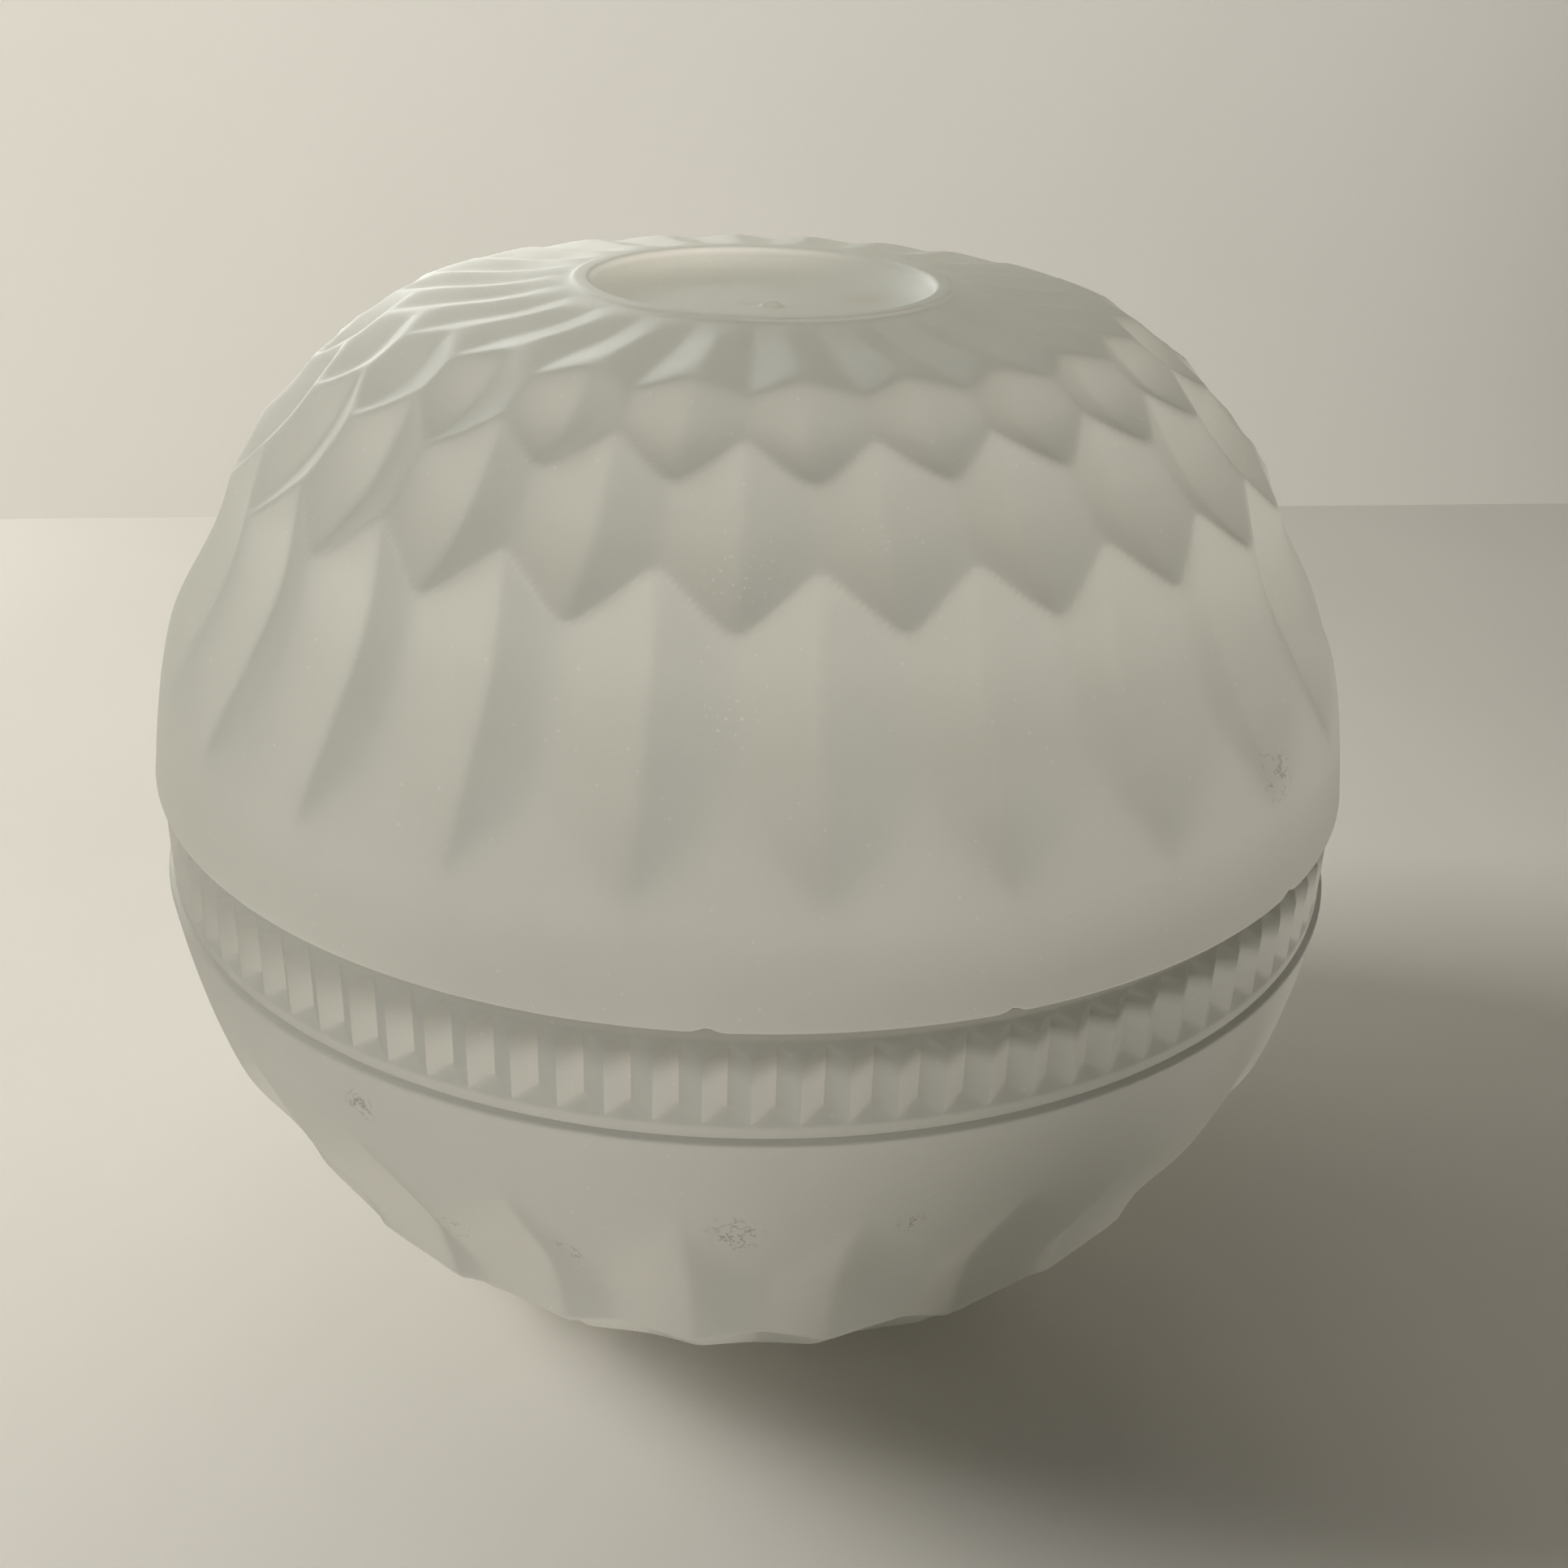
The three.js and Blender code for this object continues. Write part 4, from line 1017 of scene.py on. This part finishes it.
def cell_parts(xy):
    low, top = low_z("battery_cell_1"), high_z("battery_cell_1")
    sleeve = lathe([
        (4.2, low), (4.9, low), (5.25, low + 0.45), (5.25, top - 1.7), (4.95, top - 1.15),
        (4.3, top - 1.05), (4.3, top - 1.3), (4.95, top - 2.0), (4.95, low + 0.6), (4.2, low + 0.2),
    ], 64, 0.15)
    can = lathe([
        (0, low + 0.12), (4.4, low + 0.12), (4.9, low + 0.6), (4.9, top - 1.9), (4.4, top - 1.25),
        (3.7, top - 1.25), (3.4, top - 1.5), (2.3, top - 1.5), (1.95, top - 1.2),
        (1.9, top - 0.25), (1.65, top), (0, top),
    ], 64, 0.12)
    return [(placed(sleeve, xy), 0), (placed(can, xy), 1)]


def spring_part(xy):
    turns, steps = 3, 28
    wound = np.arange(turns * steps + 1) / (turns * steps)
    angle = 2 * math.pi * turns * wound
    reach = 4.0 - 1.6 * wound
    rise = np.interp(wound, (0, 0.22, 0.9, 1), (0, 0.35, 3.9, 4.1))
    path = np.stack([xy[0] + reach * np.cos(angle), xy[1] + reach * np.sin(angle), 8.55 + rise], -1)
    return tube(path, 0.35, 12)


PRESSED = 0.14              # depth of the rings pressed in the contact plates


def stamped_plate(radius, low, high, up):
    """Contact plate with pressed rings; up is the side that shows them."""
    shallow = [
        (radius - 0.9, 0.0), (radius - 1.1, PRESSED), (2.6, PRESSED), (2.2, 0.0), (1.2, 0.0),
        (0.9, PRESSED), (0, PRESSED),
    ]
    if up:
        outline = [(0, low), (radius - 0.15, low), (radius, low + 0.1), (radius, high)]
        outline += [(r, high - sunk) for r, sunk in shallow]
    else:
        outline = [(0, high), (radius - 0.15, high), (radius, high - 0.1), (radius, low)]
        outline += [(r, low + sunk) for r, sunk in shallow]
    return lathe(outline, 96, 0.05, 2)


def contact_parts(node, up):
    """Contact plate of a CAD node with a button for each cell."""
    low, high = low_z(node), high_z(node)
    parts = [(stamped_plate(reach_x(node), low, high, up), 0)]
    face, rise = (high - PRESSED, 0.12) if up else (low + PRESSED, -0.12)
    for angle in SCREW_ANGLES:
        button = blob(1.3, rise, face, 28)
        parts.append((placed(outward(button), polar(CELL_CIRCLE, angle)), 0))
    return parts


def switch_parts():
    base = stack([(9.6, 4.9, 0.2, 0), (10.0, 5.2, 0.3, 0.2), (10.0, 5.2, 0.3, 1.3), (9.7, 4.9, 0.3, 1.4),
                  (9.7, 4.9, 0.3, 3.0), (6.4, 2.6, 0.1, 3.0), (6.4, 2.6, 0.1, 2.5), (6.2, 2.4, 0.1, 2.5)])
    cover = stack([(9.8, 5.0, 0.4, 1.45), (9.9, 5.1, 0.45, 1.5), (9.9, 5.1, 0.45, 3.75), (9.6, 4.8, 0.4, 4.0),
                   (6.6, 2.8, 0.3, 4.0), (6.4, 2.6, 0.2, 3.85), (6.4, 2.6, 0.2, 3.05), (9.6, 4.8, 0.3, 3.05),
                   (9.72, 4.92, 0.3, 3.0), (9.72, 4.92, 0.3, 1.5)])
    parts = [(base, 0), (cover, 1)]
    for x in (-4.4, 4.4):
        for y in (-2.5, 2.5):
            parts.append((slab(0.8, 0.16, 1.3, 0.05).moved(x, y, 0.75), 1))
    for x in (-3.0, 0.0, 3.0):
        parts.append((blob(0.5, 0.3, 0.1).moved(x, -2.2, 0), 1))
    return [(placed(part, SWITCH_AT, LED_BASE), look) for part, look in parts]


def slider_parts():
    low = LED_BASE + 4.0 - 1.15
    foot = slab(2.6, 2.0, 1.6, 0.15).moved(0, 0, low + 0.8)
    levels = [(1.9, 2.0, 0.1, low + 1.4), (1.8, 2.0, 0.15, low + 1.7), (1.8, 2.0, 0.15, low + 2.1)]
    for k in range(4):
        z = low + 2.2 + 0.36 * k
        levels += [(1.56, 2.0, 0.15, z), (1.56, 2.0, 0.15, z + 0.12), (1.8, 2.0, 0.15, z + 0.2)]
    levels += [(1.8, 2.0, 0.15, low + 3.8), (1.6, 1.8, 0.2, low + 3.98), (1.3, 1.5, 0.2, low + 4.05)]
    return [(placed(part, (SWITCH_AT[0] - 1.2, SWITCH_AT[1])), 0) for part in (foot, stack(levels))]


def pod_part():
    def relief(r, z, angle):
        rise = thread_rise(z, CAP_THREAD_Z, 0, 100, angle, **CAP_THREAD)
        return r + rise * 1.2 if abs(r - POD_RADIUS) < 0.01 else np.full(len(angle), r)

    outline = [
        (0, POD_BOTTOM), (POD_RADIUS, POD_BOTTOM), (POD_RADIUS, DECK_TOP + 0.3),
        (POD_FLANGE, DECK_TOP + 0.3), (POD_FLANGE, DECK_TOP + 1.5), (POD_RADIUS, DECK_TOP + 1.5),
        (POD_RADIUS, 53.9)]
    outline += fine_line((POD_RADIUS, 54.0), (POD_RADIUS, POD_TOP - 0.1), 0.12)
    outline += [(POD_RADIUS - 0.3, POD_TOP), (0, POD_TOP)]
    holes = [bore(5.7, 11.9, POD_TOP + 1, polar(CELL_CIRCLE, angle)) for angle in SCREW_ANGLES]
    holes.append(bore(12.6, 7.2, 12.9, (0, 0)))
    return carved([lathe(outline, 192, 0.2, 2, relief)], holes)


def cap_part():
    start = 50                  # degrees round from where the pod's thread starts
    height = CAP_THREAD_Z - 1.5 + CAP_THREAD["lead"] * start / 360

    def relief(r, z, angle):
        if abs(r - CAP_BORE) < 0.01:
            return r - thread_rise(z, height, start, 50, angle, **CAP_THREAD) * 1.15
        if abs(r - CAP_OUTER) < 0.01:
            inside = np.clip(min(z - CAP_BOTTOM - 0.6, CAP_TOP - 1.4 - z) / 0.4, 0, 1)
            return r - 0.32 * inside * np.clip(np.cos(angle * 60) * 1.6, 0, 1)
        return np.full(len(angle), r)

    outline = [(0, CAP_CEILING), (CAP_BORE, CAP_CEILING)]
    outline += fine_line((CAP_BORE, CAP_CEILING - 0.3), (CAP_BORE, CAP_BOTTOM + 0.2), 0.14)
    outline += [(CAP_BORE + 0.2, CAP_BOTTOM), (CAP_OUTER - 0.2, CAP_BOTTOM)]
    outline += fine_line((CAP_OUTER, CAP_BOTTOM + 0.25), (CAP_OUTER, CAP_TOP - 0.8), 0.3)
    outline += [(CAP_OUTER - 0.8, CAP_TOP), (CAP_OUTER - 2.2, CAP_TOP), (CAP_OUTER - 2.4, CAP_TOP - 0.2),
                (CAP_OUTER - 3.0, CAP_TOP - 0.2), (CAP_OUTER - 3.2, CAP_TOP), (0, CAP_TOP)]
    grip = stack([
        (28.6, 6.2, 1.6, CAP_TOP - 0.7), (28.6, 6.0, 1.6, CAP_TOP), (28.9, 5.0, 1.9, CAP_TOP + 0.5),
        (29.0, 4.6, 2.0, CAP_TOP + 1.1), (29.0, 4.5, 2.0, CAP_TOP + 2.9),
        (28.6, 4.1, 1.9, CAP_TOP + 3.5), (27.8, 3.4, 1.5, CAP_TOP + 3.7),
    ], 8)
    return carved([lathe(outline, 480, 0.12, 2, relief), grip])


def screw_part(xy, seat, head, head_height, shank, length, turn):
    """Cross-head screw: head and shank are radii, seat is the height of the head's underside."""
    pitch = 0.42 * shank + 0.25

    def relief(r, z, angle):
        if r < shank * 1.01 and z < seat - 0.9:
            phase = (z / pitch - angle / (2 * math.pi)) % 1.0
            return r * (0.80 + 0.20 * (1 - np.abs(2 * phase - 1)))
        return np.full(len(angle), r)

    outline = [(0, seat - length), (shank * 0.25, seat - length + 0.1)]
    outline += fine_line((shank * 0.6, seat - length + 0.5), (shank, seat - length + 1.4), 0.1)
    outline += fine_line((shank, seat - length + 1.5), (shank, seat - 0.9), 0.1)
    outline += [(shank * 0.85, seat - 0.6), (shank * 0.85, seat), (head, seat)]
    outline.append((head, seat + head_height * 0.45))
    for f in (0.93, 0.82, *np.arange(0.72, 0.02, -0.04)):
        outline.append((head * f, seat + head_height * (0.45 + 0.55 * math.sqrt(1 - f ** 2))))
    part = lathe([*outline, (0, seat + head_height)], 48, 0.04, 1, relief)
    top = part.v[:, 2] > seat + head_height * 0.6
    x, y = np.abs(part.v[:, 0]), np.abs(part.v[:, 1])
    across = 1 + np.exp((np.minimum(x, y) - head * 0.15) / 0.04)
    along = 1 + np.exp((np.maximum(x, y) - head * 0.55) / 0.05)
    part.v[:, 2] -= np.where(top, head_height * 0.45 / (across * along), 0)
    return placed(part, xy, 0, turn)


def lead_parts(angle):
    route = [(16.0, 41.0), (20.0, 37.5), (27.0, 39.0), (30.5, 44.5)]
    route += [(LEAD_CIRCLE, 50.0), (LEAD_CIRCLE, high_z("lead_red"))]
    path = curve([(*polar(radius, angle), height) for radius, height in route], 12)
    return [(tube(path[2:-3], 0.6, 20), 0), (tube(path[:4], 0.32, 12), 1), (tube(path[-5:], 0.32, 12), 1)]


def terminal_parts(angle):
    tab = stack([
        (0.5, 2.4, 0.2, -3.5), (0.55, 2.9, 0.25, -3.2), (0.55, 3.0, 0.25, -0.4),
        (0.55, 2.2, 0.25, 0.2), (0.55, 2.2, 0.25, 2.6), (0.5, 1.5, 0.2, 3.45),
    ])
    parts = [(tab, 0)]
    for z, radius in ((-2.2, 0.75), (1.2, 0.5)):
        head = blob(radius, 0.3, 0.0, 24)
        head.v = head.v[:, [2, 1, 0]] + (0.15, 0, z)
        parts.append((outward(head), 0))
    return [(placed(part, polar(POD_RADIUS + 0.68, angle), 42.0, angle), look) for part, look in parts]


def cord_ring(node, half, segments):
    """Seal cord of a CAD node with the fine flash line of its mould."""
    radius, height = reach_x(node) - half, centre_of(node, 2)
    turns = np.linspace(0, 2 * math.pi, 25)[:-1]
    outer = np.exp(-(np.minimum(turns, 2 * math.pi - turns) / 0.12) ** 2)
    inner = np.exp(-((turns - math.pi) / 0.12) ** 2)
    reach = half * (0.97 + 0.06 * (outer + inner))
    points = [(radius + r * math.cos(a), height + r * math.sin(a)) for r, a in zip(reach, turns)]
    return lathe(points, segments, 0.001, 1)


def ballast_part():
    inner, outer = 15.6, reach_x("ballast_ring")
    low, high = low_z("ballast_ring"), high_z("ballast_ring")
    outline = [(inner, low), (outer - 0.6, low), (outer, low + 0.6), (outer, high)]
    for r in (25.4, 22.4, 19.4):
        outline += [(r + 0.35, high), (r, high - 0.3), (r - 0.35, high)]
    return lathe([*outline, (inner, high)], 192, 0.3)


make_piece("deck", [(deck_part(), 0)], "bowl", ["lamp_deck"], [WHITE])
make_piece("dish", [(dish_part(), 0)], "bowl", ["reflector_dish"], [WHITE])
make_piece("board", board_parts(), "bowl", ["led_board"], [BOARD, SOLDER, BLACK])
for k in range(LED_COUNT):
    lamp = led_parts(polar(LED_CIRCLE, 60 * k), 60 * k)
    make_piece(f"led_lamp_{k + 1}", lamp, "bowl", [f"led_{k + 1}"], [LENS, NICKEL, PHOSPHOR])
make_piece("driver", chip_parts(), "bowl", ["driver_chip"], [BLACK, NICKEL])
make_piece("capacitor", capacitor_parts(), "bowl", ["storage_capacitor"], [SLEEVE, NICKEL])
make_piece("switch_case", switch_parts(), "bowl", ["switch_body"], [BLACK, STEEL])
make_piece("switch_knob", slider_parts(), "switch_slider", ["switch_slider"], [WHITE])
make_piece("pod", [(pod_part(), 0)], "bowl", ["battery_pod"], [WHITE])
make_piece("cap", [(cap_part(), 0)], "battery_cap", ["battery_cap"], [WHITE])
for k, angle in enumerate(SCREW_ANGLES, 1):
    at_cell = polar(CELL_CIRCLE, angle)
    make_piece(f"cell_{k}", cell_parts(at_cell), "bowl", [f"battery_cell_{k}"], [CELL, NICKEL])
    spring = [(spring_part(at_cell), 0)]
    make_piece(f"spring_{k}", spring, "bowl", [f"contact_spring_{k}"], [NICKEL])
    at_deck, at_board = polar(DECK_SCREW_CIRCLE, angle), polar(LED_CIRCLE, angle)
    deck_screw = screw_part(at_deck, DECK_TOP + 1.6, 3.0, 1.8, 1.2, 13, rng.uniform(0, 90))
    make_piece(f"long_screw_{k}", [(deck_screw, 0)], "bowl", [f"deck_screw_{k}"], [STEEL])
    board_screw = screw_part(at_board, BOARD_TOP + 0.3, 2.2, 1.3, 0.95, 7, rng.uniform(0, 90))
    make_piece(f"short_screw_{k}", [(board_screw, 0)], "bowl", [f"board_screw_{k}"], [STEEL])
for name, body, node, up in (
        ("lower_contact", "bowl", "bottom_contact", True),
        ("upper_contact", "battery_cap", "cap_contact", False)):
    make_piece(name, contact_parts(node, up), body, [node], [NICKEL])
for name, look in (("red", RED), ("black", DARK)):
    lead, terminal = lead_parts(LEAD_ANGLES[name]), terminal_parts(LEAD_ANGLES[name])
    make_piece(f"wire_{name}", lead, "bowl", [f"lead_{name}"], [look, SOLDER])
    make_piece(f"tab_{name}", terminal, "bowl", [f"terminal_{name}"], [NICKEL])
for name, node, half, segments in (
        ("globe_seal", "shell_seal", SEAL_CORD, 360), ("cover_seal", "cap_seal", 0.5, 180)):
    cord = [(cord_ring(node, half, segments), 0)]
    make_piece(name, cord, node, [node], [RUBBER], sharp=math.pi)
make_piece("ballast", [(ballast_part(), 0)], "bowl", ["ballast_ring"], [STEEL])
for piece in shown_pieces():
    piece.visible_shadow = piece.name in ("dome", "bowl", "pod")

# ---------------------------------------------------------------- studio
CAMERA_DISTANCE = 3.223 * RIM_RADIUS
CAMERA_ELEVATION = math.radians(24.117)
CAMERA_TURN = Vector((2.16, -1.01, 1.39))   # degrees about right, down and forward
LENS_MM = 42.04


def camera_matrix():
    cos, sin = math.cos(CAMERA_ELEVATION), math.sin(CAMERA_ELEVATION)
    aimed = Matrix(((1, 0, 0), (0, -sin, -cos), (0, cos, -sin)))
    turn = Matrix.Rotation(math.radians(CAMERA_TURN.length), 3, CAMERA_TURN.normalized())
    right, down, forward = turn @ aimed
    axes = Matrix((right, -down, -forward)).transposed()
    place = Vector((0, -CAMERA_DISTANCE * cos, RIM_Z + CAMERA_DISTANCE * sin)) * MM
    return Matrix.Translation(place) @ axes.to_4x4()


camera = bpy.data.objects.new("camera", bpy.data.cameras.new("camera"))
camera.data.sensor_width = 36
camera.data.lens = LENS_MM
camera.data.clip_start = 0.01
camera.data.clip_end = 20
camera.matrix_world = camera_matrix()
bpy.context.scene.collection.objects.link(camera)
bpy.context.scene.camera = camera


def floor_look(name, colour, shade, one_sided=False):
    """Plain stage paint; a one-sided sheet isn't there when it is looked at from behind."""
    look = Look(name)
    base = look.mix(look.cloud(160), colour, shade)
    normal = look.bump(look.noise(0.5, 2.0), 0.03, 0.3)
    shader = look.principled(base, look.roughness(30, 0.75, 0.9), normal, Specular_IOR_Level=0.1)
    if one_sided:
        behind = look.node("ShaderNodeNewGeometry").outputs["Backfacing"]
        clear = look.node("ShaderNodeBsdfTransparent").outputs[0]
        shader = look.node("ShaderNodeMixShader", {0: behind, 1: shader, 2: clear}).outputs[0]
    return look.finish(shader)


def stage_sheet(name, corners, look):
    mesh = bpy.data.meshes.new(name)
    mesh.from_pydata([[c * MM for c in corner] for corner in corners], [], [[0, 1, 2, 3]])
    mesh.materials.append(look)
    obj = bpy.data.objects.new(name, mesh)
    bpy.context.scene.collection.objects.link(obj)
    obj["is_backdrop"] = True
    return obj


SIDE = 3000
floor_paint = floor_look("floor_paint", rgb(218, 215, 207), rgb(212, 209, 201))
stage_sheet("floor", [(-SIDE, -SIDE, 0), (SIDE, -SIDE, 0), (SIDE, SIDE, 0), (-SIDE, SIDE, 0)], floor_paint)
WALL_LEFT, WALL_RIGHT, WALL_FOOT, WALL_HEAD = (-1500, 44), (1500, 399), -5, 1600
wall_paint = floor_look("wall_paint", rgb(220, 217, 209), rgb(216, 213, 205), one_sided=True)
wall = stage_sheet("wall", [
    (*WALL_LEFT, WALL_FOOT), (*WALL_RIGHT, WALL_FOOT), (*WALL_RIGHT, WALL_HEAD), (*WALL_LEFT, WALL_HEAD),
], wall_paint)
wall.visible_shadow = False
# Black sheet, hidden from the camera, that keeps light from the right off the globe.
flag = stage_sheet("flag", [(120, -90, 0), (260, 260, 0), (260, 260, 420), (120, -90, 420)],
                   floor_look("flag_cloth", rgb(28, 27, 26), rgb(34, 33, 32)))
flag.visible_camera = False


def area_light(name, place, target, width, height, power, colour):
    lamp = bpy.data.lights.new(name, "AREA")
    lamp.shape = "RECTANGLE"
    lamp.size, lamp.size_y = width * MM, height * MM
    lamp.energy = power
    lamp.color = colour[:3]
    obj = bpy.data.objects.new(name, lamp)
    obj.location = Vector(place) * MM
    obj.rotation_mode = "QUATERNION"
    obj.rotation_quaternion = (Vector(target) - Vector(place)).to_track_quat("-Z", "Y")
    bpy.context.scene.collection.objects.link(obj)
    return obj


def lights_only(lamp, objects):
    """The lamp reaches only these objects; everything still casts its shadow."""
    group = bpy.data.collections.new(lamp.name + "_reach")
    for obj in objects:
        group.objects.link(obj)
    lamp.light_linking.receiver_collection = group


STUDIO_WHITE = rgb(255, 254, 251)
staged = [obj for obj in bpy.context.scene.objects if obj.type == "MESH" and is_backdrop(obj)]
key = area_light("key", (-720, 90, 410), (-60, -20, 20), 320, 320, 6.6, STUDIO_WHITE)
lights_only(key, staged)
wash = area_light("wash", (-120, -300, 800), (340, 270, 150), 600, 400, 8.6, STUDIO_WHITE)
lights_only(wash, [wall])
glow = area_light("glow", (-110, 200, 135), (0, 0, 50), 150, 150, 0.80, STUDIO_WHITE)
glow.visible_camera = False
lights_only(glow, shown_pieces())
fill = area_light("fill", (-350, -200, 240), (0, 0, 50), 260, 260, 0.70, STUDIO_WHITE)
lights_only(fill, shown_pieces())

BRIGHT_SIDE = (-0.80, -0.10, 0.59)      # where the room is brightest, as seen from the globe
ROOM_LIGHT = 0.27           # strength of its light there; it falls to nothing opposite
ROOM_SEEN = 0.8             # strength of the room as the camera sees it
world = bpy.data.worlds.new("room")
world.use_nodes = True
sky = world.node_tree
aim = sky.nodes.new("ShaderNodeVectorMath")
aim.operation = "DOT_PRODUCT"
aim.inputs[1].default_value = BRIGHT_SIDE
sky.links.new(sky.nodes.new("ShaderNodeTexCoord").outputs["Generated"], aim.inputs[0])
span = sky.nodes.new("ShaderNodeMapRange")
span.inputs["From Min"].default_value = -1.0
span.inputs["From Max"].default_value = 1.0
span.inputs["To Min"].default_value = 0.0
span.inputs["To Max"].default_value = ROOM_LIGHT
sky.links.new(aim.outputs["Value"], span.inputs["Value"])
# Seen directly, the far room is one pale tone.
seen = sky.nodes.new("ShaderNodeMix")
seen.inputs["B"].default_value = ROOM_SEEN
sky.links.new(sky.nodes.new("ShaderNodeLightPath").outputs["Is Camera Ray"], seen.inputs["Factor"])
sky.links.new(span.outputs[0], seen.inputs["A"])
sky.links.new(seen.outputs["Result"], sky.nodes["Background"].inputs["Strength"])
sky.nodes["Background"].inputs["Color"].default_value = rgb(206, 204, 200)
bpy.context.scene.world = world
bpy.context.scene.view_settings.view_transform = "Standard"
